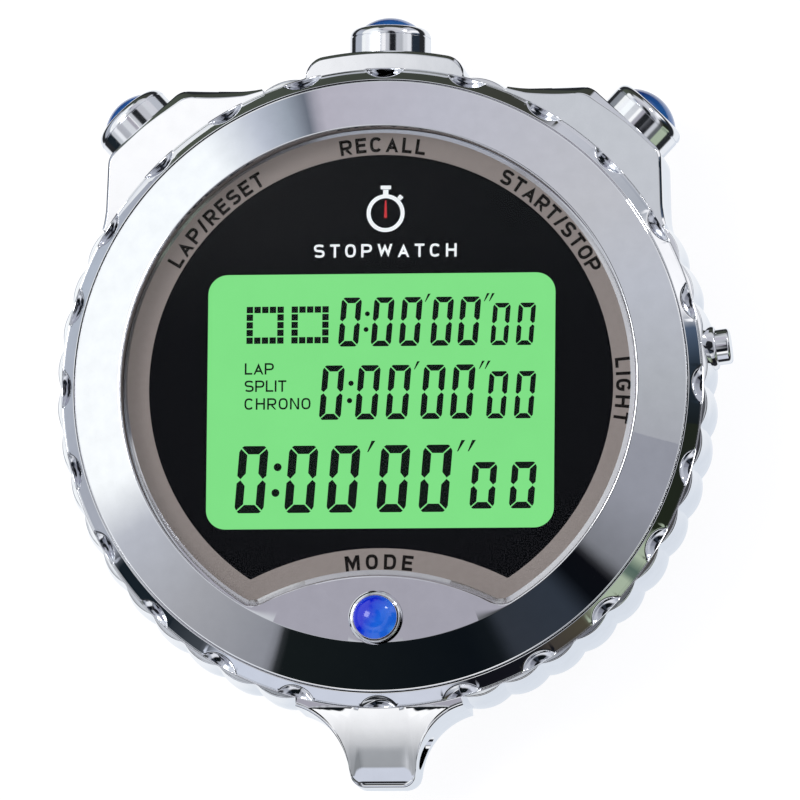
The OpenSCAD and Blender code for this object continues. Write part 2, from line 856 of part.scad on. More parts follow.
module light_seal() {
    tube_r = 0.16;
    color("black") on_rim(light_angle, cavity_r + 2.5) rotate_extrude()
        translate([light_stem_r - 0.3 + tube_r + 0.005, 0]) circle(tube_r, $fn = 24);
}

module light_clip() {
    color("gray") on_rim(light_angle, cavity_r - 0.3 - clip_t) difference() {
        rod(light_stem_r + clip_grow, 0, clip_t);
        rod(light_stem_r - 0.25 + press_gap, -1, clip_t + 1);
        block(light_stem_r + clip_grow, 0, 2 * (light_stem_r + clip_grow), light_stem_r, -1,
            clip_t + 1);
    }
}

module light_spring() {
    color("silver") on_rim(light_angle, 0)
        coil((light_r + light_stem_r) / 2, light_wire, light_seat - light_flange_t,
            light_seat - light_cap_low, 2, 16, 6);
}

// ---- Mode button ----

module mode_cap() {
    color("silver") translate([0, -mode_y, 0]) difference() {
        union() {
            rod(mode_r, mode_top - mode_cap_t, mode_top);
            rod(mode_stem_r, mode_tip, mode_top - mode_cap_t + 0.1);
        }
        rod(mode_jewel_r + press_gap, mode_top - mode_jewel_sink, mode_top + 1);
        tube(mode_stem_r - clip_cut, mode_stem_r + 1, mode_clip_z - press_gap,
            mode_clip_z + clip_t + press_gap);
    }
}

module mode_jewel() {
    ball = (mode_jewel_r * mode_jewel_r + mode_jewel_h * mode_jewel_h) / (2 * mode_jewel_h);
    color([0.05, 0.25, 0.85]) translate([0, -mode_y, mode_top]) {
        rod(mode_jewel_r, -mode_jewel_sink, 0);
        intersection() {
            translate([0, 0, mode_jewel_h - ball]) sphere(ball);
            rod(mode_jewel_r, 0, mode_jewel_h + 1);
        }
    }
}

module mode_clip() {
    color("gray") translate([0, -mode_y, 0]) open_clip(mode_stem_r, mode_clip_z);
}

module mode_spring() {
    color("silver") translate([0, -mode_y, 0])
        coil((mode_r + mode_stem_r) / 2 + 0.05, mode_wire, mode_floor, mode_top - mode_cap_t,
            3, 16, 6);
}

case_body();
bezel();
bezel_screws();
lens();
lens_gasket();
dial_panel();
legend_ring();
display_film();
display_front_glass();
display_rear_glass();
display_reflector();
light_guide();
backlight_led();
zebra_strip();
movement_frame();
circuit_board();
frame_screws();
chip_cover();
quartz_crystal();
capacitors();
side_contacts();
mode_switch();
battery();
battery_plus_contact();
battery_minus_contact();
piezo_disc();
piezo_ceramic();
buzzer_springs();
insulator_sheet();
back_cover();
back_gasket();
back_screws();
mode_collar();
light_bushing();
on_rim(LAP, ear_seat) pusher_spring();  // lap_spring
on_rim(RECALL, boss_seat) pusher_spring();  // recall_spring
on_rim(START, ear_seat) pusher_spring();  // start_spring
mode_spring();
light_spring();
on_rim(LAP, ear_seat) pusher_cap(ear_seat);  // lap_cap
on_rim(LAP, ear_seat) pusher_jewel();  // lap_jewel
on_rim(LAP, ear_seat) pusher_seal();  // lap_seal
on_rim(LAP, ear_seat) pusher_clip(ear_seat);  // lap_clip
on_rim(RECALL, boss_seat) pusher_cap(boss_seat);  // recall_cap
on_rim(RECALL, boss_seat) pusher_jewel();  // recall_jewel
on_rim(RECALL, boss_seat) pusher_seal();  // recall_seal
on_rim(RECALL, boss_seat) pusher_clip(boss_seat);  // recall_clip
on_rim(START, ear_seat) pusher_cap(ear_seat);  // start_cap
on_rim(START, ear_seat) pusher_jewel();  // start_jewel
on_rim(START, ear_seat) pusher_seal();  // start_seal
on_rim(START, ear_seat) pusher_clip(ear_seat);  // start_clip
mode_cap();
mode_jewel();
mode_clip();
light_cap();
light_seal();
light_clip();
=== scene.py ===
"""Looks for a round metal digital stopwatch, built piece by piece round its fixed frame."""

import json
import math
from types import SimpleNamespace

import bpy
import numpy as np
from mathutils import Matrix, Vector


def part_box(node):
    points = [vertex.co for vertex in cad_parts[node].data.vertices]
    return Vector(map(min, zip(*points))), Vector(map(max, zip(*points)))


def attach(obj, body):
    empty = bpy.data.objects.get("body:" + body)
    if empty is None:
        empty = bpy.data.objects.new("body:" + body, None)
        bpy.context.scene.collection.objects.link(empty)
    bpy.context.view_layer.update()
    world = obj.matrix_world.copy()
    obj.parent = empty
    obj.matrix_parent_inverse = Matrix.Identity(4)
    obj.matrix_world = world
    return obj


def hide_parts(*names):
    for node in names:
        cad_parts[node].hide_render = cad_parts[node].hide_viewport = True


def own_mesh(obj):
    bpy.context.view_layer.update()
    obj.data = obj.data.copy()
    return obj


bl_info = {
    "name": "Digital Stopwatch",
    "version": (1, 0, 0),
    "blender": (4, 5, 0),
    "location": "View3D > Sidebar > Stopwatch",
    "description": "Builds the shown pieces of a metal digital stopwatch round its frame",
    "category": "Object",
}

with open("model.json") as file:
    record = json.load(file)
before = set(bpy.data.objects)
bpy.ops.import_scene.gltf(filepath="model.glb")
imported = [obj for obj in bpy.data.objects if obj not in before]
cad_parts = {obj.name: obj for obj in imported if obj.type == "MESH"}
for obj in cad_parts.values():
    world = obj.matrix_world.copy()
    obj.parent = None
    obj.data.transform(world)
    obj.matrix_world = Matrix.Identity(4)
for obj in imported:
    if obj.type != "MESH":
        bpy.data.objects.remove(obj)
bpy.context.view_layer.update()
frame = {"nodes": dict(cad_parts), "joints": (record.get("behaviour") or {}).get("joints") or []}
NODES = frame["nodes"]
PRESS_AXIS = {j["name"]: Vector(j["axis"]).normalized() for j in frame["joints"]}
TURN = 2 * math.pi
MM = 0.001


# ---- Places in the frame, in millimetres ----

def box_mm(node):
    """Lowest and highest corners of a CAD node."""
    lo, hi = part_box(node)
    return lo * 1000, hi * 1000


def reach_mm(node, direction):
    """How far a CAD node starts and ends along a direction from the watch's axis."""
    ends = [v.co.dot(direction) * 1000 for v in NODES[node].data.vertices]
    return min(ends), max(ends)


CASE_LO, CASE_HI = box_mm("case_body")
RING_LO, RING_HI = box_mm("bezel")
LENS_LO, LENS_HI = box_mm("lens")
DIAL_LO, DIAL_HI = box_mm("dial_panel")
FILM_LO, FILM_HI = box_mm("display_film")
COVER_LO, COVER_HI = box_mm("back_cover")
COLLAR_LO, COLLAR_HI = box_mm("mode_collar")
MODE_LO, MODE_HI = box_mm("mode_cap")
MODE_Y = (MODE_LO.y + MODE_HI.y) / 2
SIDE = {name: -PRESS_AXIS[name + "_press"] for name in ("lap", "recall", "start", "light")}
RIM_Z = sum(c.z for c in box_mm("recall_cap")) / 2
MODE_STEM = 1.0         # radius of the mode button's stem
BUSHING_RADIUS = 1.7    # the light button's bushing, inside the case
BUSHING_DEPTH = 1.1     # depth of the pocket for its flange


# ---- Settings that a user would change ----

def linear(hex_colour):
    """An sRGB hex colour as linear red, green, blue and alpha."""
    parts = [int(hex_colour[i:i + 2], 16) / 255 for i in (1, 3, 5)]
    return [c / 12.92 if c <= 0.04045 else ((c + 0.055) / 1.055) ** 2.4 for c in parts] + [1.0]


def length(name, description, mm):
    return bpy.props.FloatProperty(name=name, description=description, default=mm * MM,
                                   min=0.0, precision=5, subtype="DISTANCE", unit="LENGTH")


def colour(name, description, hex_colour):
    return bpy.props.FloatVectorProperty(name=name, description=description, size=4, min=0.0,
                                         max=1.0, default=linear(hex_colour), subtype="COLOR")


class StopwatchCase(bpy.types.PropertyGroup):
    """Sizes of the case and its ring"""
    rim: length("Rim radius", "Outer radius over the grip lobes", 35)
    band_outer: length("Band outer radius", "Outer edge of the sloping band", 34.05)
    band_inner: length("Band inner radius", "Inner edge of the sloping band", 32.7)
    band_rise: length("Band rise", "Height of the band's slope", 1.3)
    front: length("Front height", "Height of the ears' front face", 12.3)
    rear: length("Rear height", "Height of the ears' rear face", 2.4)
    cavity: length("Cavity radius", "Radius of the hollow for the movement", 28.6)
    lobes: bpy.props.IntProperty(name="Lobes", description="Grip lobes round the rim", default=48)
    lobe_radius: length("Lobe radius", "Radius of one grip lobe", 4.5)
    scoops: bpy.props.IntProperty(name="Scoops", description="Scoops in the band", default=24)
    scoop_radius: length("Scoop radius", "Radius of the ball that cuts a scoop", 4.42)
    scoop_out: length("Scoop distance", "Distance of a scoop's ball from the axis", 37.28)
    scoop_up: length("Scoop height", "Height of a scoop's ball", 14.42)
    ear_half: length("Ear half width", "Half the width of an ear's flat seat", 4.3)
    ear_round: length("Ear rounding", "Rounding of an ear's corners in plan", 2.2)
    lobe_lean: length("Lobe lean", "How far the lobes lean in at the front", 0.36)
    ear_shift: length("Ear shift", "How far an ear's seat reaches towards 12 o'clock", 0.7)
    ear_soft: length("Ear edge", "Rounding of an ear's front edge", 0.9)
    boss_half: length("Boss half width", "Half the width of the seat at 12 o'clock", 8.5)
    boss_round: length("Boss rounding", "Rounding of that seat's corners", 2.3)
    lug_half: length("Lug half width", "Half the width of the lug's tip", 3.55)
    lug_flare: length("Lug flare", "Radius of the hollow curve beside the lug", 7.4)
    eye_radius: length("Eye radius", "Radius of the lanyard hole", 1.75)
    eye_in: length("Eye distance", "Lanyard hole's distance from the lug's tip", 3.8)


class StopwatchWindow(bpy.types.PropertyGroup):
    """Sizes of the window, the dial and the display"""
    land_radius: length("Land radius", "Radius of the arc under the window", 27.2)
    land_centre: length("Land centre", "Distance of that arc's centre below the axis", 47.5)
    corner: length("Corner", "Rounding of the window's lower corners", 2.2)
    gap: length("Gap", "Gap between the lens and the ring", 0.25)
    bevel: length("Bevel", "Bevel on the lens's front edge", 0.45)
    lip: length("Lip", "Width of the ledge under the lens", 1.1)
    label_radius: length("Label radius", "Middle of the legend on the printed ring", 25.8)
    label_height: length("Label height", "Height of the legend's capitals", 1.62)
    print_height: length("Print thickness", "Thickness of the printed ink", 0.015)


class StopwatchButtons(bpy.types.PropertyGroup):
    """Sizes of the pushers and buttons"""
    pusher_radius: length("Pusher radius", "Radius of the three pushers", 4.3)
    pusher_height: length("Pusher height", "Height of a pusher above its seat", 3)
    pusher_skirt: length("Pusher skirt", "Depth of a pusher's skirt below its seat", 1.6)
    pusher_soft: length("Pusher shoulder", "Rounding of a pusher's shoulder", 1.0)
    jewel_radius: length("Jewel radius", "Radius of a pusher's jewel", 3.1)
    jewel_height: length("Jewel height", "Height of a jewel above its pusher", 1.2)
    stem_radius: length("Stem radius", "Radius of a pusher's stem", 1.5)
    light_radius: length("Light button radius", "Radius of the light button", 1.9)
    mode_radius: length("Mode button radius", "Radius of the mode button", 2.35)


class StopwatchFinish(bpy.types.PropertyGroup):
    """Colours of the finishes"""
    chrome: colour("Chrome", "Polished chrome plate", "#F2F3F6")
    # The two ends of the jewels' painted light: their deep blue, darkened as painted shade on one
    # side, and a pale blue glow, painted light that is also their emission, on the other
    jewel_deep_painted_shade: colour("Jewel, deep", "The blue jewels in the shade", "#060F5E")
    jewel_painted_glow: colour("Jewel, glow", "The blue jewels where light gathers", "#3FA0F5")
    display: colour("Display", "Backlit liquid crystal film", "#86EC8C")
    segment: colour("Segments", "Liquid crystal segments that are on", "#141F18")
    legend: colour("Legend ring", "Printed ring beside the dial", "#8F8480")
    dial: colour("Dial", "Printed panel round the display", "#07080B")
    ink: colour("White ink", "Lettering on the dial", "#F4F5F6")


class StopwatchStage(bpy.types.PropertyGroup):
    """The stage and its light"""
    key_power: bpy.props.FloatProperty(name="Key light", description="Power of the key light",
                                       default=2.2, unit="POWER")
    floor: colour("Floor", "Colour of the plain floor", "#F6F6F7")


def settings(context):
    """The sizes as millimetres and the colours, all under one roof."""
    found = {}
    for group in ("case", "window", "buttons", "finish", "stage"):
        values = getattr(context.scene, "stopwatch_" + group)
        for key, prop in values.bl_rna.properties.items():
            if key in ("name", "rna_type"):
                continue
            value = getattr(values, key)
            found[key] = value * 1000 if getattr(prop, "unit", "") == "LENGTH" else value
    return SimpleNamespace(**found)


# ---- Nodes and materials ----

def add(tree, kind, inputs=None, **values):
    """Adds a node. Inputs are values, or the sockets that they link from."""
    made = tree.nodes.new(kind)
    for key, value in values.items():
        setattr(made, key, value)
    for key, value in (inputs or {}).items():
        if isinstance(value, bpy.types.NodeSocket):
            tree.links.new(value, made.inputs[key])
        else:
            made.inputs[key].default_value = value
    return made


def stops(ramp_node, colours):
    """Sets a colour ramp's stops from pairs of position and linear colour."""
    ramp = ramp_node.color_ramp
    while len(ramp.elements) > 1:
        ramp.elements.remove(ramp.elements[0])
    ramp.elements[0].position, ramp.elements[0].color = colours[0]
    for position, value in colours[1:]:
        ramp.elements.new(position).color = value


def finish(name, dark, light, metallic, rough, bump_mm, grain_mm, stretch=(1, 1, 1),
           pattern="ShaderNodeTexNoise", **shader):
    """A material whose grain of grain_mm varies its colour, roughness and relief."""
    made = bpy.data.materials.new(name)
    made.use_nodes = True
    tree = made.node_tree
    tree.nodes.clear()
    place = add(tree, "ShaderNodeTexCoord").outputs["Object"]
    spread = [s / (grain_mm * MM) for s in stretch]
    place = add(tree, "ShaderNodeMapping", {"Vector": place, "Scale": spread}).outputs[0]
    grain = add(tree, pattern, {"Vector": place, "Scale": 1.0})
    if "Detail" in grain.inputs:
        grain.inputs["Detail"].default_value = 4.0
    grain = grain.outputs["Fac" if "Fac" in grain.outputs else "Distance"]
    tint = add(tree, "ShaderNodeValToRGB", {"Fac": grain})
    stops(tint, [(0.3, dark), (0.7, light)])
    sheen = add(tree, "ShaderNodeMapRange",
                {"Value": grain, "From Min": 0.25, "From Max": 0.75,
                 "To Min": rough[0], "To Max": rough[1]})
    relief = add(tree, "ShaderNodeBump",
                 {"Height": grain, "Strength": 1.0, "Distance": bump_mm * MM})
    surface = add(tree, "ShaderNodeBsdfPrincipled",
                  {"Base Color": tint.outputs[0], "Roughness": sheen.outputs[0],
                   "Normal": relief.outputs[0], "Metallic": metallic})
    for key, value in shader.items():
        surface.inputs[key.replace("_", " ")].default_value = value
    add(tree, "ShaderNodeOutputMaterial", {"Surface": surface.outputs[0]})
    return made


def part_of(made, kind):
    return next(n for n in made.node_tree.nodes if n.bl_idname == kind)


def chrome(s, name, tint=1.0, rough=(0.015, 0.04)):
    """Chrome plate over a polished die casting: a bright, cool mirror, with the faint
    unevenness that buffing leaves."""
    light = [c * tint for c in s.chrome[:3]] + [1.0]
    dark = [c * tint * 0.95 for c in s.chrome[:3]] + [1.0]
    return finish(name, dark, light, 1.0, rough, 0.0006, 1.6)


# The pieces inside: CAD node, real material and how it is made, two colours, metallic,
# roughness, relief and grain in millimetres, stretch and pattern.
WAVE, CELLS, NOISE = "ShaderNodeTexWave", "ShaderNodeTexVoronoi", "ShaderNodeTexNoise"
INSIDE = [
    # Moulded silicone rubber: dull black with a fine moulded tooth
    (("lens_gasket", "back_gasket", "lap_seal", "recall_seal", "start_seal", "light_seal"),
     "Moulded silicone rubber", "#101112", "#1B1C1D", 0, (0.6, 0.8), 0.004, 0.25, (1, 1, 1),
     NOISE),
    # Float glass of the display cell: clear green-grey plates
    (("display_front_glass", "display_rear_glass"),
     "Float glass plate", "#B9DCC0", "#C6E6CC", 0, (0.04, 0.08), 0.0005, 2.0, (1, 1, 1), NOISE),
    # Aluminised polyester behind the display: soft bright foil
    (("display_reflector",), "Aluminised polyester film", "#C9CCCB", "#E2E4E3", 1, (0.3, 0.45),
     0.001, 0.6, (1, 1, 1), NOISE),
    # Cast acrylic light guide: milky and smooth
    (("light_guide",), "Cast acrylic light guide", "#DDF2DE", "#EBFAEC", 0, (0.15, 0.25), 0.001,
     1.2, (1, 1, 1), CELLS),
    # Epoxy lens of a light diode: yellow-green and glossy
    (("backlight_led",), "Epoxy diode body", "#CFE07A", "#DDEB98", 0, (0.1, 0.2), 0.0005, 0.5,
     (1, 1, 1), NOISE),
    # Layered contact rubber: pink with fine stripes across it
    (("zebra_strip",), "Layered contact rubber", "#B86F7C", "#E39AA7", 0, (0.5, 0.65), 0.003, 0.3,
     (1, 0.01, 0.01), WAVE),
    # Injection-moulded ABS: white, with an eggshell texture
    (("movement_frame",), "Moulded white ABS", "#DAD9D4", "#E8E7E2", 0, (0.42, 0.55), 0.003, 0.35,
     (1, 1, 1), NOISE),
    # Glass-epoxy board under green solder mask, its tracks showing as ridges
    (("circuit_board",), "Green solder-masked board", "#0F4F2B", "#1B7341", 0, (0.25, 0.4), 0.02,
     1.6, (1, 1, 0.01), CELLS),
    # Black epoxy drop over the chip: glossy, slightly wavy
    (("chip_cover",), "Black epoxy drop", "#08090A", "#121314", 0, (0.12, 0.22), 0.006, 1.8,
     (1, 1, 1), NOISE),
    # Multilayer ceramic capacitors: tan, matt
    (("capacitors",), "Fired capacitor ceramic", "#94724F", "#B08A62", 0, (0.45, 0.6), 0.002, 0.3,
     (1, 1, 1), NOISE),
    # Drawn and tinned can of the crystal: grey, drawn along its length
    (("quartz_crystal",), "Drawn tinned can", "#A9ABAE", "#C7C9CC", 1, (0.22, 0.34), 0.001, 0.2,
     (0.05, 1, 1), NOISE),
    # Gold-flashed beryllium copper springs and straps: warm, rolled
    (("side_contacts", "battery_plus_contact", "battery_minus_contact"),
     "Gold-flashed spring copper", "#B48A3A", "#D9B465", 1, (0.2, 0.32), 0.001, 0.3, (1, 0.05, 1),
     NOISE),
    # Moulded switch body: dark grey nylon
    (("mode_switch",), "Moulded grey nylon", "#2B2C2E", "#3A3B3D", 0, (0.5, 0.65), 0.003, 0.3,
     (1, 1, 1), NOISE),
    # Nickel-plated steel of the coin cell: satin with circular polish
    (("battery",), "Nickel-plated cell can", "#AEB0B2", "#CFD1D3", 1, (0.2, 0.35), 0.002, 0.25,
     (1, 1, 0.1), NOISE),
    # Rolled brass of the buzzer's disc
    (("piezo_disc",), "Rolled brass disc", "#A9852F", "#C9A44B", 1, (0.25, 0.38), 0.001, 0.3,
     (0.05, 1, 1), NOISE),
    # Silvered piezo ceramic: off-white and matt
    (("piezo_ceramic",), "Silvered piezo ceramic", "#CFCDC4", "#E0DED6", 0, (0.4, 0.55), 0.001,
     0.4, (1, 1, 1), NOISE),
    # Polyimide sheet: amber and smooth
    (("insulator_sheet",), "Amber polyimide sheet", "#B9802B", "#CC9440", 0, (0.2, 0.3), 0.001,
     3.0, (1, 1, 1), NOISE),
    # Stamped spring steel rings: grey with a blued tone
    (("lap_clip", "recall_clip", "start_clip", "light_clip", "mode_clip"),
     "Stamped spring steel", "#6E7276", "#8B8F94", 1, (0.3, 0.42), 0.001, 0.2, (1, 1, 1), NOISE),
    # Brass screws of the movement, and the drawn wire of the buzzer's springs
    (("frame_screws",), "Turned brass screw", "#B08C3C", "#D3B060", 1, (0.2, 0.32), 0.001, 0.15,
     (1, 1, 1), NOISE),
    (("buzzer_springs", "bezel_screws"), "Drawn spring steel wire", "#A4A7AB", "#C4C7CB", 1,
     (0.18, 0.3), 0.0008, 0.1, (1, 1, 1), NOISE),
]


def dress(node, made):
    """Gives a CAD node that is kept its finished material."""
    slots = NODES[node].data.materials
    if len(slots) == 0:
        slots.append(made)
    for i in range(len(slots)):
        slots[i] = made


# ---- Mesh making, in millimetres ----

def blank(name, points, faces):
    """A new object from points in millimetres."""
    mesh = bpy.data.meshes.new(name)
    mesh.from_pydata([tuple(float(c) * MM for c in p) for p in points], [], list(faces))
    obj = bpy.data.objects.new(name, mesh)
    bpy.context.scene.collection.objects.link(obj)
    return obj


def piece(name, points, faces, materials, body, replaces=(), soft=True):
    """A finished piece from points in millimetres. Not soft yet, where a cut follows."""
    obj = blank(name, points, faces)
    for made in materials:
        obj.data.materials.append(made)
    if soft:
        soften(obj)
    settle(obj, body, replaces)
    return obj


def settle(obj, body, replaces=()):
    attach(obj, body)
    if replaces:
        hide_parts(*replaces)


def bake(obj):
    """Turns the object's modifiers into its mesh."""
    graph = bpy.context.evaluated_depsgraph_get()
    made = bpy.data.meshes.new_from_object(obj.evaluated_get(graph))
    obj.modifiers.clear()
    obj.data = made
    return obj


def soften(obj, sharp=35, weighted=True):
    """Smooth shading with sharp edges past an angle. Weighted, it follows the large faces."""
    obj.data.shade_smooth()
    obj.data.set_sharp_from_angle(angle=math.radians(sharp))
    if not weighted:
        return obj
    weigh = obj.modifiers.new("Weigh normals", "WEIGHTED_NORMAL")
    weigh.keep_sharp = True
    return bake(obj)


def loft(rings, closed=False):
    """Points and faces of a skin over rings of equal length. An open loft ends in poles."""
    count = len(rings[0])
    points = [p for ring in rings for p in ring]
    faces = []
    last = len(rings) if closed else len(rings) - 1
    for j in range(last):
        a, b = j * count, ((j + 1) % len(rings)) * count
        faces += [(a + i, a + (i + 1) % count, b + (i + 1) % count, b + i)
                  for i in range(count)]
    if not closed:
        for j, flip in ((0, True), (len(rings) - 1, False)):
            pole = len(points)
            points.append(tuple(np.mean(rings[j], axis=0)))
            for i in range(count):
                pair = (j * count + i, j * count + (i + 1) % count)
                faces.append((pole, *(pair[::-1] if flip else pair)))
    return points, faces


def ring_at(angles, reach, height):
    """A ring of points at the given angles, from their distances and heights."""
    reach = np.broadcast_to(reach, angles.shape)
    height = np.broadcast_to(height, angles.shape)
    return np.stack([reach * np.cos(angles), reach * np.sin(angles), height], axis=1)


def turned(profile, steps=96, closed=False):
    """A turning from (radius, height) pairs, listed up the outside and back down."""
    angles = np.arange(steps) * TURN / steps
    return loft([ring_at(angles, r, z) for r, z in profile], closed)


def arc(centre_r, centre_z, radius, start, end, count):
    """Points of an arc in a profile, its angles in degrees from the radius."""
    return [(centre_r + radius * math.cos(math.radians(a)),
             centre_z + radius * math.sin(math.radians(a)))
            for a in np.linspace(start, end, count)]


def dome(radius, base, rise, count=14):
    """A dome's profile from its edge up to near its pole."""
    ball = (radius * radius + rise * rise) / (2 * rise)
    tilt = math.degrees(math.asin(radius / ball))
    return arc(0, base + rise - ball, ball, 90 - tilt, 89.0, count)


def on_rim(direction, distance):
    """Frame of a rim piece: local z points outwards from a distance in millimetres."""
    out = direction.normalized()
    down = Vector((0, 0, -1))
    place = Matrix((down, out.cross(down), out)).transposed().to_4x4()
    place.translation = out * distance + Vector((0, 0, RIM_Z))
    return place


def placed(points, place):
    return [tuple(place @ Vector(p)) for p in points]


def turned_at(profile, place, steps=96, closed=False):
    """A turning put in its place."""
    points, faces = turned(profile, steps, closed)
    return placed(points, place), faces


def turned_piece(name, profile, place, material, body, node, steps=96, closed=False):
    """A turned piece of one material that replaces one CAD node."""
    points, faces = turned_at(profile, place, steps, closed)
    piece(name, points, faces, [material], body, [node])


def cut(obj, cutters):
    """Takes the cutters, lists of points and faces in millimetres, out of a piece."""
    for points, faces in cutters:
        tool = blank("cutter", points, faces)
        step = obj.modifiers.new("Cut", "BOOLEAN")
        step.operation, step.solver, step.object = "DIFFERENCE", "MANIFOLD", tool
        bake(obj)
        bpy.data.objects.remove(tool)
    return obj


def joined(parts):
    """Several point and face lists as one."""
    points, faces = [], []
    for more_points, more_faces in parts:
        start = len(points)
        points += list(more_points)
        faces += [tuple(i + start for i in face) for face in more_faces]
    return points, faces


def slab(outline, low, high):
    """A flat plate from a simple outline."""
    n = len(outline)
    points = [(x, y, low) for x, y in outline] + [(x, y, high) for x, y in outline]
    faces = [tuple(range(n - 1, -1, -1)), tuple(range(n, 2 * n))]
    faces += [(i, (i + 1) % n, (i + 1) % n + n, i + n) for i in range(n)]
    return points, faces


def stroke(path, thick, closed, low=0, high=1):
    """A line of lettering with mitred corners, its ends levelled at the cap height."""
    path = np.array(path, float)
    ahead, behind = np.roll(path, -1, 0) - path, path - np.roll(path, 1, 0)
    if not closed:
        ahead[-1], behind[0] = behind[-1], ahead[0]
    ahead /= np.linalg.norm(ahead, axis=1)[:, None]
    behind /= np.linalg.norm(behind, axis=1)[:, None]
    mid = ahead + behind
    mid /= np.linalg.norm(mid, axis=1)[:, None]
    across = np.stack([-mid[:, 1], mid[:, 0]], 1) * (
        thick / 2 / np.maximum((mid * ahead).sum(1), 0.2))[:, None]
    left, right = path + across, path - across
    for side in (left, right):
        side[:, 1] = np.clip(side[:, 1], 0, 1)
    return loft([[(*a, low), (*a, high), (*b, high), (*b, low)] for a, b in zip(left, right)],
                closed)


def bow(x, y, half_x, half_y, start, end, count=12):
    """Points of a squarish bow, its angles in degrees."""
    a = np.radians(np.linspace(start, end, count))
    c, n = np.cos(a), np.sin(a)
    return [(x + half_x * math.copysign(abs(i) ** 0.78, i), y + half_y *
             math.copysign(abs(j) ** 0.78, j)) for i, j in zip(c, n)]


LETTER_WIDTHS = {"A": 0.86, "E": 0.7, "I": 0.165, "L": 0.66, "M": 0.95, "T": 0.72, "W": 1.12,
                 "/": 0.42}


def letter(name, w, t):
    """Strokes of a plain capital of width w, height 1 and weight t: paths and closings."""
    l, r, b, u = t / 2, w - t / 2, t / 2, 1 - t / 2
    stem, post, mid = [(l, 0), (l, 1)], [(r, 0), (r, 1)], w / 2
    half_x, half_y, low_bowl = mid - t / 2, 0.5 - t / 2, 0.44
    bowl = [(t, u), (mid, u)] + bow(mid, (u + low_bowl) / 2, half_x, (u - low_bowl) / 2, 80, -80) \
        + [(mid, low_bowl), (t, low_bowl)]
    ess = bow(mid, (0.5 + u) / 2, half_x, (u - 0.5) / 2, 28, 262) + \
        bow(mid, (0.5 + b) / 2, half_x, (0.5 - b) / 2, 82, -152)
    return {
        "A": [[(l * 0.9, -0.1), (mid, 0.8), (r + l * 0.1, -0.1)],
              [(l * 2.6, 0.3), (w - l * 2.6, 0.3)]],
        "C": [bow(mid, 0.5, half_x, half_y, 38, 322, 20)],
        "D": [[(mid, b), (l, b), (l, u), (mid, u)] + bow(mid, 0.5, half_x, half_y, 84, -84)],
        "E": [[(w, u), (l, u), (l, b), (w, b)], [(t, 0.52), (w - 0.06, 0.52)]],
        "G": [bow(mid, 0.5, half_x, half_y, 38, 334, 20) + [(r, 0.46), (mid, 0.46)]],
        "H": [stem, post, [(t, 0.52), (w - t, 0.52)]],
        "I": [stem],
        "L": [[(l, 1), (l, b), (w, b)]],
        "M": [stem, post, [(t * 0.75, 1.1), (mid, 0.24), (w - t * 0.75, 1.1)]],
        "N": [stem, post, [(t * 0.7, 1.04), (w - t * 0.7, -0.04)]],
        "O": [bow(mid, 0.5, half_x, half_y, 0, 345, 24)],
        "P": [stem, bowl],
        "R": [stem, bowl, [(mid, low_bowl - l), (r, -0.1)]],
        "S": [ess],
        "T": [[(0, u), (w, u)], [(mid, 1 - t), (mid, 0)]],
        "W": [[(l, 1.1), (w * 0.28, 0.22), (mid, 0.8), (w * 0.72, 0.22), (w - l, 1.1)]],
        "/": [[(l, -0.1), (r, 1.1)]],
    }[name]


def lettering(words, height, width, weight, thick):
    """Points and faces of a word in plain capitals, centred, spread to fill a width."""
    widths = [LETTER_WIDTHS.get(c, 0.8) for c in words]
    space = (width / height - sum(widths)) / (len(words) - 1)
    parts, x = [], -width / height / 2
    for c, w in zip(words, widths):
        for path in letter(c, w, weight):
            co, faces = stroke(path, weight, c in "OD")
            parts.append((np.array(co) + np.array([x, -0.5, 0]), faces))
        x += w + space
    points, faces = joined(parts)
    return np.array(points) * np.array([height, height, thick]), faces


def bent(co, radius, centre_deg, height):
    """Bends flat lettering round the axis at a radius, its feet inwards."""
    angle = math.radians(centre_deg) - co[:, 0] / radius
    reach = radius + co[:, 1]
    return np.stack([reach * np.cos(angle), reach * np.sin(angle), co[:, 2] + height], axis=1)


# ---- Geometry Nodes for what repeats ----

def node_tree(name, inputs):
    """An empty geometry tree with named inputs. Returns the tree, its input and output."""
    tree = bpy.data.node_groups.new(name, "GeometryNodeTree")
    tree.interface.new_socket("Geometry", in_out="INPUT", socket_type="NodeSocketGeometry")
    for label, kind in inputs:
        tree.interface.new_socket(label, in_out="INPUT", socket_type="NodeSocket" + kind)
    tree.interface.new_socket("Geometry", in_out="OUTPUT", socket_type="NodeSocketGeometry")
    return tree, add(tree, "NodeGroupInput").outputs


def close_tree(tree, geometry, material):
    """Ends a tree in Realize Instances and Set Material."""
    real = add(tree, "GeometryNodeRealizeInstances", {"Geometry": geometry}).outputs[0]
    real = add(tree, "GeometryNodeSetMaterial", {"Geometry": real, "Material": material})
    add(tree, "NodeGroupOutput", {"Geometry": real.outputs[0]})


def grow(name, tree, values, points=(), faces=()):
    """Runs a tree on a small mesh and keeps the result as a plain mesh."""
    obj = blank(name, points, faces)
    step = obj.modifiers.new("Grow", "NODES")
    step.node_group = tree
    for item in tree.interface.items_tree:
        if item.in_out == "INPUT" and item.name in values:
            step[item.identifier] = values[item.name]
    return bake(obj)


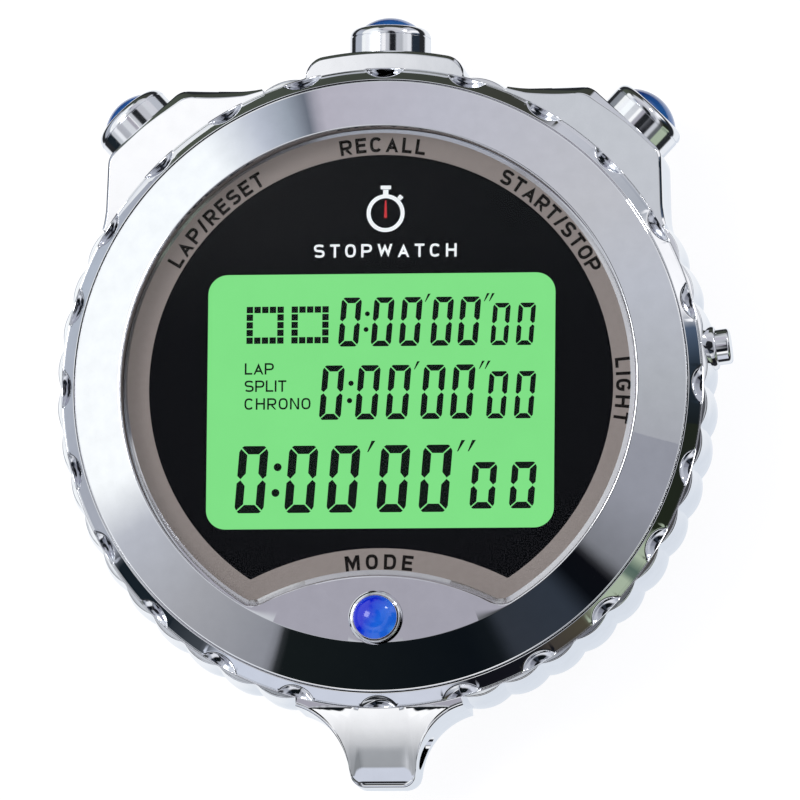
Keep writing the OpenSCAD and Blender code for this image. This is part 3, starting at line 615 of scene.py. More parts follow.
def coil_tree():
    """A wire wound into a coil that stands on z = 0."""
    tree, given = node_tree("Coil spring", [("Mean Radius", "Float"), ("Wire Radius", "Float"),
                                            ("Height", "Float"), ("Turns", "Float"),
                                            ("Material", "Material")])
    spiral = add(tree, "GeometryNodeCurveSpiral",
                 {"Resolution": 28, "Rotations": given["Turns"], "Height": given["Height"],
                  "Start Radius": given["Mean Radius"], "End Radius": given["Mean Radius"]})
    wire = add(tree, "GeometryNodeCurvePrimitiveCircle",
               {"Resolution": 12, "Radius": given["Wire Radius"]})
    tube = add(tree, "GeometryNodeCurveToMesh",
               {"Curve": spiral.outputs[0], "Profile Curve": wire.outputs[0], "Fill Caps": True})
    close_tree(tree, tube.outputs[0], given["Material"])
    return tree


def circle_tree():
    """Copies of the given mesh round the axis, each turned to face it."""
    tree, given = node_tree("Round the axis", [("Count", "Int"), ("Radius", "Float"),
                                               ("First Angle", "Float"),
                                               ("Material", "Material")])
    share = add(tree, "ShaderNodeMath", {0: TURN, 1: given["Count"]}, operation="DIVIDE")
    step = add(tree, "ShaderNodeMath", {0: add(tree, "GeometryNodeInputIndex").outputs[0],
                                        1: share.outputs[0], 2: given["First Angle"]},
               operation="MULTIPLY_ADD")
    turn = add(tree, "ShaderNodeCombineXYZ", {"Z": step.outputs[0]})
    spots = add(tree, "GeometryNodePoints", {"Count": given["Count"]})
    out = add(tree, "ShaderNodeCombineXYZ", {"X": given["Radius"]})
    moved = add(tree, "GeometryNodeTransform",
                {"Geometry": given["Geometry"], "Translation": out.outputs[0]})
    copies = add(tree, "GeometryNodeInstanceOnPoints",
                 {"Points": spots.outputs[0], "Instance": moved.outputs[0],
                  "Rotation": turn.outputs[0]})
    close_tree(tree, copies.outputs[0], given["Material"])
    return tree


def dot_square_tree():
    """A hollow square of display dots, five on each side, centred on the origin."""
    tree, given = node_tree("Dotted square", [("Pitch", "Float"), ("Dot", "Float"),
                                              ("Thickness", "Float"),
                                              ("Material", "Material")])
    side = add(tree, "ShaderNodeMath", {0: given["Pitch"], 1: 4.0}, operation="MULTIPLY")
    grid = add(tree, "GeometryNodeMeshGrid", {"Size X": side.outputs[0], "Size Y": side.outputs[0],
                                              "Vertices X": 5, "Vertices Y": 5})
    at = add(tree, "ShaderNodeVectorMath",
             {0: add(tree, "GeometryNodeInputPosition").outputs[0]}, operation="ABSOLUTE")
    axes = add(tree, "ShaderNodeSeparateXYZ", {0: at.outputs[0]}).outputs
    far = add(tree, "ShaderNodeMath", {0: axes["X"], 1: axes["Y"]}, operation="MAXIMUM")
    limit = add(tree, "ShaderNodeMath", {0: given["Pitch"], 1: 1.5}, operation="MULTIPLY")
    inner = add(tree, "FunctionNodeCompare", {"A": far.outputs[0], "B": limit.outputs[0]},
                operation="LESS_THAN", data_type="FLOAT")
    border = add(tree, "GeometryNodeDeleteGeometry",
                 {"Geometry": grid.outputs[0], "Selection": inner.outputs[0]}, domain="POINT")
    size = add(tree, "ShaderNodeCombineXYZ",
               {"X": given["Dot"], "Y": given["Dot"], "Z": given["Thickness"]})
    dot = add(tree, "GeometryNodeMeshCube", {"Size": size.outputs[0]})
    dots = add(tree, "GeometryNodeInstanceOnPoints",
               {"Points": border.outputs[0], "Instance": dot.outputs[0]})
    close_tree(tree, dots.outputs[0], given["Material"])
    return tree


# ---- Outlines of the case and the window ----

def circle_hit(angle, centre_x, centre_y, radius, far=True):
    """Distance along rays from the axis to a circle, or -1 where a ray misses it."""
    along = centre_x * np.cos(angle) + centre_y * np.sin(angle)
    across = centre_x * np.sin(angle) - centre_y * np.cos(angle)
    inside = radius * radius - across * across
    root = np.sqrt(np.maximum(inside, 0))
    return np.where(inside > 0, along + root if far else along - root, -1.0)


def soft_max(a, b, blend):
    share = np.clip(0.5 + 0.5 * (a - b) / blend, 0, 1)
    return b * (1 - share) + a * share + blend * share * (1 - share)


def soft_min(a, b, blend):
    return -soft_max(-a, -b, blend)


def lobe_outline(s, angle):
    pitch = TURN / s.lobes
    off = (angle % pitch) - pitch / 2
    return circle_hit(off, s.rim - s.lobe_radius, 0, s.lobe_radius)


def ear_outline(s, angle, towards, seat):
    """Reach of a side ear: a flat seat, rounded corners and 45 degree flanks."""
    off = (angle - towards + math.pi) % TURN - math.pi
    upper = (off > 0) == (math.cos(towards) > 0)
    off = np.abs(off)
    half = s.ear_half + np.where(upper, s.ear_shift, -s.ear_shift)
    inset = seat - s.ear_round
    flank = inset + half + s.ear_round * math.sqrt(2)
    corner = circle_hit(off, inset, half, s.ear_round)
    tangent = s.ear_round / math.sqrt(2)
    corner_end = np.arctan2(half + tangent, inset + tangent)
    off = np.minimum(off, 1.0)
    side = flank / (np.cos(off) + np.sin(off))
    reach = np.where(off < np.arctan2(half, seat), seat / np.cos(off),
                     np.where(off < corner_end, corner, side))
    return soft_max(reach, np.full_like(reach, s.band_outer + 0.15), 1.4)


def boss_outline(s, angle, seat):
    """Reach of the raised seat at 12 o'clock, concentric with the rim."""
    off = np.abs((angle - math.pi / 2 + math.pi) % TURN - math.pi)
    x = s.boss_half - s.boss_round
    y = math.sqrt((seat - s.boss_round) ** 2 - x * x)
    return np.where(off < math.atan2(x, y), seat, circle_hit(off, y, x, s.boss_round))


def lug_outline(s, angle, tip):
    """Reach of the lanyard lug: a rounded tip between two hollow flares."""
    off = np.abs((angle + math.pi / 2 + math.pi) % TURN - math.pi)
    tip_round = 1.5
    corner = circle_hit(off, tip - tip_round, s.lug_half - tip_round, tip_round)
    corner_start = math.atan2(s.lug_half - tip_round, tip)
    end = np.where(off < corner_start, tip / np.cos(np.minimum(off, 1.0)), corner)
    flare_x, flare_y = s.lug_half + s.lug_flare, tip - 1
    flare = circle_hit(off, flare_y, flare_x, s.lug_flare, far=False)
    middle = math.atan2(flare_x, flare_y)
    graze = middle - math.asin(s.lug_flare / math.hypot(flare_x, flare_y))
    reach = np.where(off < graze, end, np.where(end > 0, np.minimum(end, flare), flare))
    return np.where(off < middle, reach, -1.0), off


def window_reach(s, angle, grow_by):
    """Reach of the window's outline grown by a distance."""
    off = np.abs((angle + math.pi / 2 + math.pi) % TURN - math.pi)
    disc, land = LENS_HI.y + grow_by, s.land_radius - grow_by
    rc = max(0.3, s.corner + grow_by)
    a, b = disc - rc, land + rc
    cy = (b * b - a * a - s.land_centre ** 2) / (2 * s.land_centre)
    cx = math.sqrt(a * a - cy * cy)
    disc_from = math.atan2(cx, -cy)
    touch_x, touch_y = cx * land / b, -s.land_centre + (cy + s.land_centre) * land / b
    land_to = math.atan2(touch_x, -touch_y)
    return np.where(off >= disc_from, disc,
                    np.where(off <= land_to,
                             circle_hit(off, s.land_centre, 0, land, far=False),
                             circle_hit(off, -cy, cx, rc)))


# ---- The case ----

FRONT_FALL = 0.45    # how far the rim's front falls from the band to its shoulder
REAR_ROUND = 0.35    # rounding of the rear edge of the ears, the boss and the lug
# The lug's front face: distance past the band, and height from the ears' front face
LUG_SIDE = [(0.0, -0.3), (1.0, -0.86), (2.0, -1.43), (3.0, -2.02), (4.0, -2.62), (5.0, -3.24),
            (6.0, -3.88), (6.9, -4.48), (7.35, -4.97), (7.7, -5.7), (8.0, -6.35)]


def case_rings(s, steps=1440):
    """Rings of the case: from the ring's seat, over the band and the rim, to the cavity."""
    angle = np.arange(steps) * TURN / steps
    ear_seat = reach_mm("lap_jewel", SIDE["lap"])[1] - s.pusher_height - s.jewel_height
    boss_seat = reach_mm("recall_jewel", SIDE["recall"])[1] - s.pusher_height - s.jewel_height
    lobes = lobe_outline(s, angle)
    ears = np.maximum(*[ear_outline(s, angle, math.atan2(SIDE[n].y, SIDE[n].x), ear_seat)
                        for n in ("lap", "start")])
    boss = boss_outline(s, angle, boss_seat)
    lug, from_lug = lug_outline(s, angle, -CASE_LO.y)
    seam = s.band_outer + 0.16      # least reach of the rim outside the band
    crest = np.maximum(lobes - s.lobe_lean, seam)
    is_ear = (ears > lobes) & (ears >= boss)
    is_boss = (boss > lobes) & (boss > ears)
    is_lug = lug > lobes
    flat = is_ear | is_boss
    top = np.where(flat, np.maximum(ears, boss), np.where(is_lug, lug, crest))
    slope = FRONT_FALL / (s.rim - 0.3 - s.band_outer)
    along_lug = np.cos(np.minimum(from_lug, 1.2))

    def lug_height(reach):
        run, fall = zip(*LUG_SIDE)
        return s.front + np.interp(reach * along_lug, s.band_outer + np.array(run), fall)

    def front_height(reach):
        cone = s.front - np.maximum(reach - s.band_outer, 0) * slope
        return np.where(flat, s.front, np.where(is_lug, lug_height(reach), cone))

    rings = []

    def ring(reach, height):
        rings.append(ring_at(angle, reach, height))

    edge = s.front + s.band_rise
    fall = s.band_rise / (s.band_outer - s.band_inner)
    for reach, height in ((0, RING_LO.z + 0.6), (0, edge - 0.2), (0, edge - 0.09),
                          (0.02, edge - 0.05), (0.06, edge - 0.065)):
        ring(s.band_inner + reach, height)

    # the band and the balls that scoop it
    pitch = TURN / s.scoops
    off = (angle + pitch / 2) % pitch - pitch / 2

    def ball_height(reach):
        across = ((reach * np.cos(off) - s.scoop_out) ** 2 + (reach * np.sin(off)) ** 2)
        inside = s.scoop_radius ** 2 - across
        return np.where(inside > 0, s.scoop_up - np.sqrt(np.maximum(inside, 0)), 99.0)

    def band_height(reach):
        return edge - (reach - s.band_inner) * fall

    wall = s.band_outer - 0.03
    low, high = np.full(steps, s.band_inner + 0.08), np.full(steps, wall)
    scooped = ball_height(high) < band_height(high) - 0.02
    for _ in range(24):
        half = (low + high) / 2
        cut_here = ball_height(half) < band_height(half)
        low, high = np.where(cut_here, low, half), np.where(cut_here, half, high)
    lip = np.where(scooped, high, wall - 0.25)

    def scooped_height(reach):
        return soft_min(band_height(reach), np.minimum(ball_height(reach), 20.0), 0.08)

    start = s.band_inner + 0.1
    for share in (0, 0.5):
        reach = start + (lip - 0.12 - start) * share
        ring(reach, scooped_height(reach))
    for shift in (-0.2, -0.12, -0.05, 0.03, 0.09, 0.15):
        reach = np.clip(lip + shift, start, wall)
        ring(np.where(scooped, reach, wall - 0.25 + shift * 0.8), scooped_height(reach))
    inner = np.minimum(lip + 0.17, wall - 0.01)
    for share in (0.2, 0.4, 0.6, 0.8, 1.0):
        reach = inner + (wall - inner) * share
        ring(reach, scooped_height(reach))

    # the scoop's outer wall, up to the front of the rim
    foot = scooped_height(np.full(steps, wall))
    head = front_height(np.full(steps, s.band_outer + 0.03))
    crown = np.where(is_lug, 0.05, np.minimum(0.15, 0.4 * (head - foot)))
    for share in (0.1, 0.5, 1.0):
        ring(wall + 0.01 + 0.02 * share, foot + (head - crown - foot) * share)
    for turn in (35, 65, 90):
        t = math.radians(turn)
        ring(wall + 0.03 + 0.11 * (1 - math.cos(t)), head - crown * (1 - math.sin(t)))

    # the front faces and their rounded edge
    width = np.maximum(top - s.band_outer - 0.17, 0.02)
    high_side = np.abs(np.abs(angle - math.pi / 2) - math.radians(32))
    wide_edge = np.clip(1 - high_side / math.radians(12), 0, 1)
    ear_edge = s.ear_soft * (0.36 + 0.9 * wide_edge * wide_edge * (3 - 2 * wide_edge))
    soft = np.where(is_ear, ear_edge, np.where(is_boss, 0.42, np.where(is_lug, 0.45, 0.2)))
    soft = np.minimum(soft, 0.6 * width)
    start = np.full(steps, s.band_outer + 0.13)
    for share in (0, 0.04, 0.25, 0.5, 0.75, 0.96, 1.0):
        reach = start + (top - soft - start) * share
        ring(reach, front_height(reach))
    brink = front_height(top - soft)
    # a rounded edge, but a chamfer on the ears and the boss
    for turn, run, drop in ((20, 0.07, 0.012), (40, 0.15, 0.07), (60, 0.5, 0.42),
                            (78, 0.87, 0.8), (90, 1, 1)):
        t = math.radians(turn)
        ring(top - soft + soft * np.where(flat, run, math.sin(t)),
             brink - soft * np.where(flat, drop, 1 - math.cos(t)))

    # the outer wall: the lobes lean in towards the front and the rear
    lug_rear = s.rear + np.maximum(top * along_lug - (-CASE_LO.y - 1.2), 0)
    wall_top, wall_end = brink - soft, np.where(is_lug, lug_rear, s.rear) + REAR_ROUND

    def lobe_reach(height):
        lean = np.interp(height, (0.4, 2.27, 4.4, 8.4, s.front - 0.45),
                         (-1.65, -0.42, 0, 0.05, -s.lobe_lean))
        return np.maximum(lobes + lean, seam + np.minimum(height - 3, 0) * 0.3)

    outside = flat | is_lug
    for share in (0.15, 0.33, 0.58, 0.83, 1.0):
        height = wall_top + (wall_end - wall_top) * share
        ring(np.where(outside, top, lobe_reach(height)), height)
    for turn in (30, 60, 90):
        t = math.radians(turn)
        drop = REAR_ROUND * math.sin(t)
        height = np.where(outside, wall_end - drop, s.rear + 0.3 - 0.25 * turn / 90)
        reach = top - REAR_ROUND * (1 - math.cos(t))
        ring(np.where(outside, reach, lobe_reach(height)), height)
    skirt = lobe_reach(np.full(steps, s.rear))
    foot = wall_end - REAR_ROUND
    for share in (0.5, 1.0):
        height = np.where(outside, foot + (s.rear - foot) * share, s.rear + 0.04 - 0.03 * share)
        reach = top - REAR_ROUND + (skirt - top + 0.36) * share
        ring(np.where(outside, reach, lobe_reach(height)), height)

    # the skirt behind the ears, the rim of the back and the cavity
    for height in (2.2, 1.6, 1.0, 0.55):
        ring(lobe_reach(np.full(steps, height)), height)
    back = CASE_LO.z
    cover = COVER_HI.x + 0.1
    for reach, height in ((s.band_outer - 0.78, back), (cover + 0.12, back), (cover, back + 0.12),
                          (cover, COVER_HI.z + 0.38), (cover - 0.05, COVER_HI.z + 0.4),
                          (s.cavity + 0.1, COVER_HI.z + 0.4), (s.cavity, COVER_HI.z + 0.5),
                          (s.cavity, RING_LO.z + 0.5), (s.cavity + 0.1, RING_LO.z + 0.6)):
        ring(reach, height)
    return [r[::-1] for r in rings], ear_seat, boss_seat


class OBJECT_OT_stopwatch_case(bpy.types.Operator):
    """Build the chrome case with its lobes, scoops, ears and lug"""
    bl_idname = "object.stopwatch_case"
    bl_label = "Case"

    def execute(self, context):
        s = settings(context)
        rings, ear_seat, boss_seat = case_rings(s)
        points, faces = loft(rings, closed=True)
        case = piece("case_shell", points, faces, [chrome(s, "Chrome-plated die casting")],
                     "root", ["case_body"], soft=False)
        well = s.pusher_radius + 0.1
        bore = s.stem_radius + 0.05
        cutters = []
        for name, seat in (("lap", ear_seat), ("recall", boss_seat), ("start", ear_seat)):
            profile = [(bore, -9), (bore, -3.2), (well, -3.2), (well, -0.25),
                       (well + 0.06, -0.1), (well + 0.2, 0.05), (well + 0.2, 6)]
            cutters.append(turned_at(profile, on_rim(SIDE[name], seat)))
        pocket = s.light_radius + 0.47
        sleeve, shelf = BUSHING_RADIUS + 0.02, s.rim - BUSHING_DEPTH
        profile = [(sleeve, s.cavity - 2), (sleeve, shelf), (pocket, shelf), (pocket, s.rim + 6)]
        cutters.append(turned_at(profile, on_rim(SIDE["light"], 0), 64))
        lie = Matrix.Translation((0, s.eye_in + CASE_LO.y, s.rear + 3.3)) @ Matrix.Rotation(
            math.pi / 2, 4, "Y")
        cutters.append(turned_at([(s.eye_radius, -20), (s.eye_radius, 20)], lie, 64))
        cut(case, cutters)
        soften(case, 30, weighted=False)
        return {"FINISHED"}


# ---- The ring, the window and the dial ----

class OBJECT_OT_stopwatch_ring(bpy.types.Operator):
    """Build the polished ring with its land for the mode button"""
    bl_idname = "object.stopwatch_ring"
    bl_label = "Ring"

    def execute(self, context):
        s = settings(context)
        angle = np.arange(1080) * TURN / 1080
        opening = window_reach(s, angle, s.gap)
        lip = window_reach(s, angle, -s.lip)
        out, seat = RING_HI.x, s.front - 0.3
        edge = s.front + s.band_rise
        crown = LENS_HI.y + s.gap + 0.15
        low, top, ledge = RING_LO.z, RING_HI.z, RING_LO.z + 1
        rings = [(lip, low), (s.cavity - 0.2, low), (s.cavity - 0.2, seat), (out - 0.05, seat),
                 (out, seat + 0.05), (out, edge - 0.12), (out - 0.02, edge - 0.05),
                 (out - 0.07, edge), (out - 0.2, edge + 0.05), (out - 2.4, edge + 0.886),
                 (crown + 0.1, top - 0.038), (crown + 0.04, top - 0.014),
                 (crown - 0.02, top - 0.001)]
        rings += [(np.minimum(crown - 0.05, opening + 0.12), top), (opening + 0.06, top),
                  (opening + 0.02, top - 0.02), (opening, top - 0.06), (opening, ledge + 0.02),
                  (opening - 0.03, ledge), (lip + 0.03, ledge), (lip, ledge - 0.03)]
        points, faces = loft([ring_at(angle, r, z) for r, z in rings], closed=True)
        ring = piece("front_ring", points, faces,
                     [chrome(s, "Polished chrome ring", rough=(0.01, 0.03))], "root",
                     ["bezel"], soft=False)
        hole = COLLAR_HI.x + 0.02
        bore = MODE_STEM + 0.05
        profile = [(bore, low - 1), (bore, ledge), (hole, ledge), (hole, top - 0.06),
                   (hole + 0.06, top), (hole + 0.06, top + 2)]
        cut(ring, [turned_at(profile, Matrix.Translation((0, MODE_Y, 0)))])
        soften(ring, 30)
        return {"FINISHED"}


def window_materials(s):
    """Cast acrylic: nearly unseen from the front, with a bright polished bevel."""
    clear = bpy.data.materials.new("Polished clear acrylic")
    bevel = bpy.data.materials.new("Polished acrylic bevel")
    for made, amount, rough in ((clear, 0.006, 0.02), (bevel, 0.55, 0.12)):
        made.use_nodes = True
        tree = made.node_tree
        tree.nodes.clear()
        place = add(tree, "ShaderNodeTexCoord").outputs["Object"]
        grain = add(tree, "ShaderNodeTexNoise", {"Vector": place, "Scale": 900.0})
        relief = add(tree, "ShaderNodeBump", {"Height": grain.outputs["Fac"], "Strength": 1.0,
                                              "Distance": 0.3e-6})
        gloss = add(tree, "ShaderNodeBsdfGlossy",
                    {"Color": linear("#F4F6FA"), "Roughness": rough, "Normal": relief.outputs[0]})
        through = add(tree, "ShaderNodeBsdfTransparent", {"Color": linear("#FCFDFD")})
        mixed = add(tree, "ShaderNodeMixShader", {0: amount, 1: through.outputs[0],
                                                  2: gloss.outputs[0]})
        add(tree, "ShaderNodeOutputMaterial", {"Surface": mixed.outputs[0]})
    return clear, bevel


class OBJECT_OT_stopwatch_window(bpy.types.Operator):
    """Build the clear lens with its bevelled edge"""
    bl_idname = "object.stopwatch_window"
    bl_label = "Window"

    def execute(self, context):
        s = settings(context)
        angle = np.arange(720) * TURN / 720
        outer, inner = window_reach(s, angle, 0), window_reach(s, angle, -s.bevel)
        low, top = LENS_LO.z + 0.04, LENS_HI.z
        rings = [ring_at(angle, 0.5, low), ring_at(angle, outer - 0.03, low),
                 ring_at(angle, outer, low + 0.03), ring_at(angle, outer, top - s.bevel),
                 ring_at(angle, inner, top), ring_at(angle, 0.5, top)]
        points, faces = loft(rings)
        lens = piece("window_lens", points, faces, list(window_materials(s)), "root",
                     ["lens"], soft=False)
        count = len(angle)
        for j, face in enumerate(lens.data.polygons):
            face.material_index = 1 if 2 * count <= j < 4 * count else 0
        soften(lens, 25)
        return {"FINISHED"}


MARK_X, MARK_Y = 0.35, 18.45    # middle of the pictogram on the dial


class OBJECT_OT_stopwatch_dial(bpy.types.Operator):
    """Finish the dial and its printed ring, and print the legends on them"""
    bl_idname = "object.stopwatch_dial"
    bl_label = "Dial and legends"

    def execute(self, context):
        s = settings(context)
        # Silk-screened black behind clear plastic: deep and even
        dress("dial_panel", finish("Black screen-printed panel", linear("#050609"), s.dial, 0.0,
                                   (0.45, 0.55), 0.0, 0.8, Specular_IOR_Level=0.02))
        # Satin lacquer printed behind the lens: warm grey-brown, paler where it catches light. It
        # also glows faintly in its own colour: painted light that brightens it against the shade
        # of the ring's wall.
        dim = [c * 0.92 for c in s.legend[:3]] + [1.0]
        dress("legend_ring", finish("Satin taupe lacquer, painted glow", dim, s.legend, 0.0, (0.4, 0.5), 0.0005,
                                    0.6, Specular_IOR_Level=0.1, Emission_Color=s.legend,
                                    Emission_Strength=0.3))
        level = DIAL_HI.z
        words = []
        weight = 0.205
        for text, where, wide in (("LAP/RESET", 134.7, 13.3), ("RECALL", 90, 9.2),
                                  ("START/STOP", 44.3, 14.6), ("LIGHT", -1.5, 7.0)):
            co, faces = lettering(text, s.label_height, wide, weight, s.print_height)
            words.append((bent(co, s.label_radius, where, level), faces))
        co, faces = lettering("MODE", s.label_height, 7.2, weight, s.print_height)
        co = bent(co, s.land_radius + 1.55, 90, level)
        co[:, 1] -= s.land_centre
        words.append((co, faces))
        points, faces = joined(words)
        # Black screen ink: flat and slightly raised
        piece("ring_legends", points, faces,
              [finish("Black screen ink", linear("#120E0C"), linear("#1B1613"), 0.0, (0.5, 0.6),
                      0.0, 0.2, Specular_IOR_Level=0.05)], "root")
        co, faces = lettering("STOPWATCH", 1.42, 15.2, 0.17, s.print_height)
        title = (co + np.array([MARK_X, MARK_Y - 4, level]), faces)
        points, faces = joined([title] + self.mark(level, s))
        # White screen ink on the dial: bright and even, with a faint white glow that is painted
        # light.
        piece("dial_title", points, faces,
              [finish("White screen ink, painted glow", linear("#E9EAEC"), s.ink, 0.0, (0.5, 0.6), 0.001, 0.2,
                      Emission_Color=linear("#FFFFFF"), Emission_Strength=0.35)],
              "root")
        points, faces = self.hand(level, s)
        # Red screen ink for the small hand, with a faint red glow that is painted light.
        piece("dial_hand", points, faces,
              [finish("Red screen ink, painted glow", linear("#B3181D"), linear("#D2262B"), 0.0, (0.5, 0.6),
                      0.001, 0.2, Emission_Color=linear("#D2262B"), Emission_Strength=0.3)],
              "root")
        return {"FINISHED"}

    def mark(self, level, s):
        """A plain pictogram of a stopwatch: a ring, a crown and a side pusher."""
        high = level + s.print_height

        def bar(x0, y0, x1, y1, turn=0.0):
            corners = [(x0, y0), (x1, y0), (x1, y1), (x0, y1)]
            c, n = math.cos(turn), math.sin(turn)
            return slab([(MARK_X + x * c - y * n, MARK_Y + x * n + y * c)
                         for x, y in corners], level, high)

        ring = turned_at([(1.6, level), (2.02, level), (2.02, high), (1.6, high)],
                         Matrix.Translation((MARK_X, MARK_Y, 0)), 64, closed=True)
        return [ring, bar(-0.28, 2.0, 0.28, 2.5), bar(-0.55, 2.55, 0.55, 2.95),
                bar(-0.24, 2.05, 0.24, 2.5, -0.75)]

    def hand(self, level, s):
        """The pictogram's tapered hand."""
        outline = ((-0.16, -0.5), (0.16, -0.5), (0.07, 1.35), (-0.07, 1.35))
        return slab([(MARK_X + x, MARK_Y + y) for x, y in outline], level,
                    level + s.print_height)


# ---- The display ----

def digit(width, height, thick, gap, lean, left, base, low, high):
    """The six lit segments of a nought, leaning to the right."""
    t, g, mid = thick, gap, height / 2
    top = [(0.55 * t, height), (width - 0.55 * t, height), (width - 0.3 * t, height - 0.18 * t),
           (width - t - g, height - t), (t + g, height - t), (0.3 * t, height - 0.18 * t)]
    side = [(0.12 * t, height - 0.5 * t), (0.22 * t, height - 0.36 * t), (t, height - t - 0.7 * g),
            (t, mid + 0.75 * t), (0.42 * t, mid + 0.6 * g), (0.0, mid + 0.45 * t),
            (0.0, height - 0.75 * t)]
    shapes = []
    for outline, across, down in ((top, False, False), (top, False, True), (side, False, False),
                                  (side, True, False), (side, False, True), (side, True, True)):
        placed_outline = [((width - x) if across else x, (height - y) if down else y)
                          for x, y in outline]
        if across == down:
            placed_outline = placed_outline[::-1]
        shapes.append(slab([(left + x + (y - mid) * lean, base + y) for x, y in placed_outline],
                           low, high))
    return shapes


def tick(x, y, height, lean, low, high):
    """A prime: a wedge that narrows downwards."""
    wide = 0.33 * height
    return slab([(x + 0.5 * wide + lean * height / 2, y + height / 2),
                 (x - 0.5 * wide + lean * height / 2, y + height / 2),
                 (x - 0.45 * wide - 0.25 * height, y - height / 2),
                 (x - 0.15 * wide - 0.25 * height, y - height / 2)], low, high)


# Each row: middle of each digit, digit width, base and height, the small pair's width, base
# and height, segment thickness large and small, colon place, size and heights, prime places
ROWS = [
    dict(middles=(-3.38, 0.10, 3.09, 6.42, 9.31), small=(12.64, 15.33), width=2.15, base=5.88,
         height=5.23, small_width=1.85, small_base=5.88, small_height=4.52, thick=0.6,
         small_thick=0.5, colon=(-1.6, 9.36, 7.68, 0.26), primes=(4.91, 11.19, 11.73), tick=0.86,
         tick_y=11.02),
    dict(middles=(-5.24, -1.42, 1.84, 5.52, 8.68), small=(12.36, 15.30), width=2.32, base=-1.93,
         height=5.8, small_width=2.02, small_base=-1.93, small_height=5.04, thick=0.64,
         small_thick=0.55, colon=(-3.28, 1.95, 0.10, 0.28), primes=(3.82, 10.73, 11.35),
         tick=0.87, tick_y=3.81),
    dict(middles=(-13.71, -8.40, -3.91, 1.40, 5.87), small=(10.96, 15.16), width=3.1, base=-11.83,
         height=7.16, small_width=2.62, small_base=-11.51, small_height=4.96, thick=0.88,
         small_thick=0.7, colon=(-11.04, -6.94, -9.68, 0.42), primes=(-0.94, 8.61, 9.75),
         tick=1.2, tick_y=-4.8),
]


class OBJECT_OT_stopwatch_display(bpy.types.Operator):
    """Finish the lit film and draw the segments that are on"""
    bl_idname = "object.stopwatch_display"
    bl_label = "Display"

    def execute(self, context):
        s = settings(context)
        # Polarising film over a green light guide: an even glow, a touch mottled
        dim = [c * 0.97 for c in s.display[:3]] + [1.0]
        film = finish("Backlit polarising film", linear("#3C6B40"), linear("#42744A"), 0.0,
                      (0.45, 0.55), 0.0002, 5.0)
        glow = add(film.node_tree, "ShaderNodeValToRGB",
                   {"Fac": part_of(film, "ShaderNodeTexNoise").outputs["Fac"]})
        stops(glow, [(0.3, dim), (0.7, s.display)])
        surface = part_of(film, "ShaderNodeBsdfPrincipled")
        film.node_tree.links.new(glow.outputs[0], surface.inputs["Emission Color"])
        surface.inputs["Emission Strength"].default_value = 0.93
        surface.inputs["Specular IOR Level"].default_value = 0.1
        surface.inputs["Base Color"].default_value = linear("#101812")
        for link in list(surface.inputs["Base Color"].links):
            film.node_tree.links.remove(link)
        dress("display_film", film)

        # Switched liquid crystal under the film: near black with a green cast
        ink = finish("Switched liquid crystal", linear("#101A14"), s.segment, 0.0, (0.5, 0.6),
                     0.0, 0.5, Specular_IOR_Level=0.0)
        middle = (FILM_LO.y + FILM_HI.y) / 2
        low, high = FILM_HI.z + 0.005, FILM_HI.z + 0.03
        lean = math.tan(math.radians(4.3))
        parts = []
        for row in ROWS:
            for group, key in (("middles", ""), ("small", "small_")):
                for x in row[group]:
                    width = row[key + "width"]
                    parts += digit(width, row[key + "height"], row[key + "thick"], 0.11, lean,
                                   x - width / 2, middle + row[key + "base"], low, high)
            x, upper, lower, size = row["colon"]
            for y in (upper, lower):
                shift = x + (y - (upper + lower) / 2) * lean
                parts.append(turned_at([(size, low), (size, high)],
                                       Matrix.Translation((shift, middle + y, 0)), 24))
            for x in row["primes"]:
                parts.append(tick(x, middle + row["tick_y"], row["tick"], 0.3, low, high))
        for text, y, wide in (("LAP", 3.57, 3.1), ("SPLIT", 1.72, 4.45), ("CHRONO", -0.18, 7.05)):
            co, faces = lettering(text, 1.22, wide, 0.15, high - low)
            parts.append((co + np.array([-14.55 + wide / 2, middle + y, low]), faces))
        points, faces = joined(parts)
        piece("display_segments", points, faces, [ink], "root")

        tree = dot_square_tree()
        for side, x in (("left", -12.43), ("right", -7.64)):
            square = grow("display_dots_" + side, tree,
                          {"Pitch": 0.82 * MM, "Dot": 0.68 * MM, "Thickness": (high - low) * MM,
                           "Material": ink})
            square.data.transform(Matrix.Translation(
                Vector((x, middle + 8.23, (low + high) / 2)) * MM))
            settle(square, "root")
        return {"FINISHED"}


# ---- Buttons ----

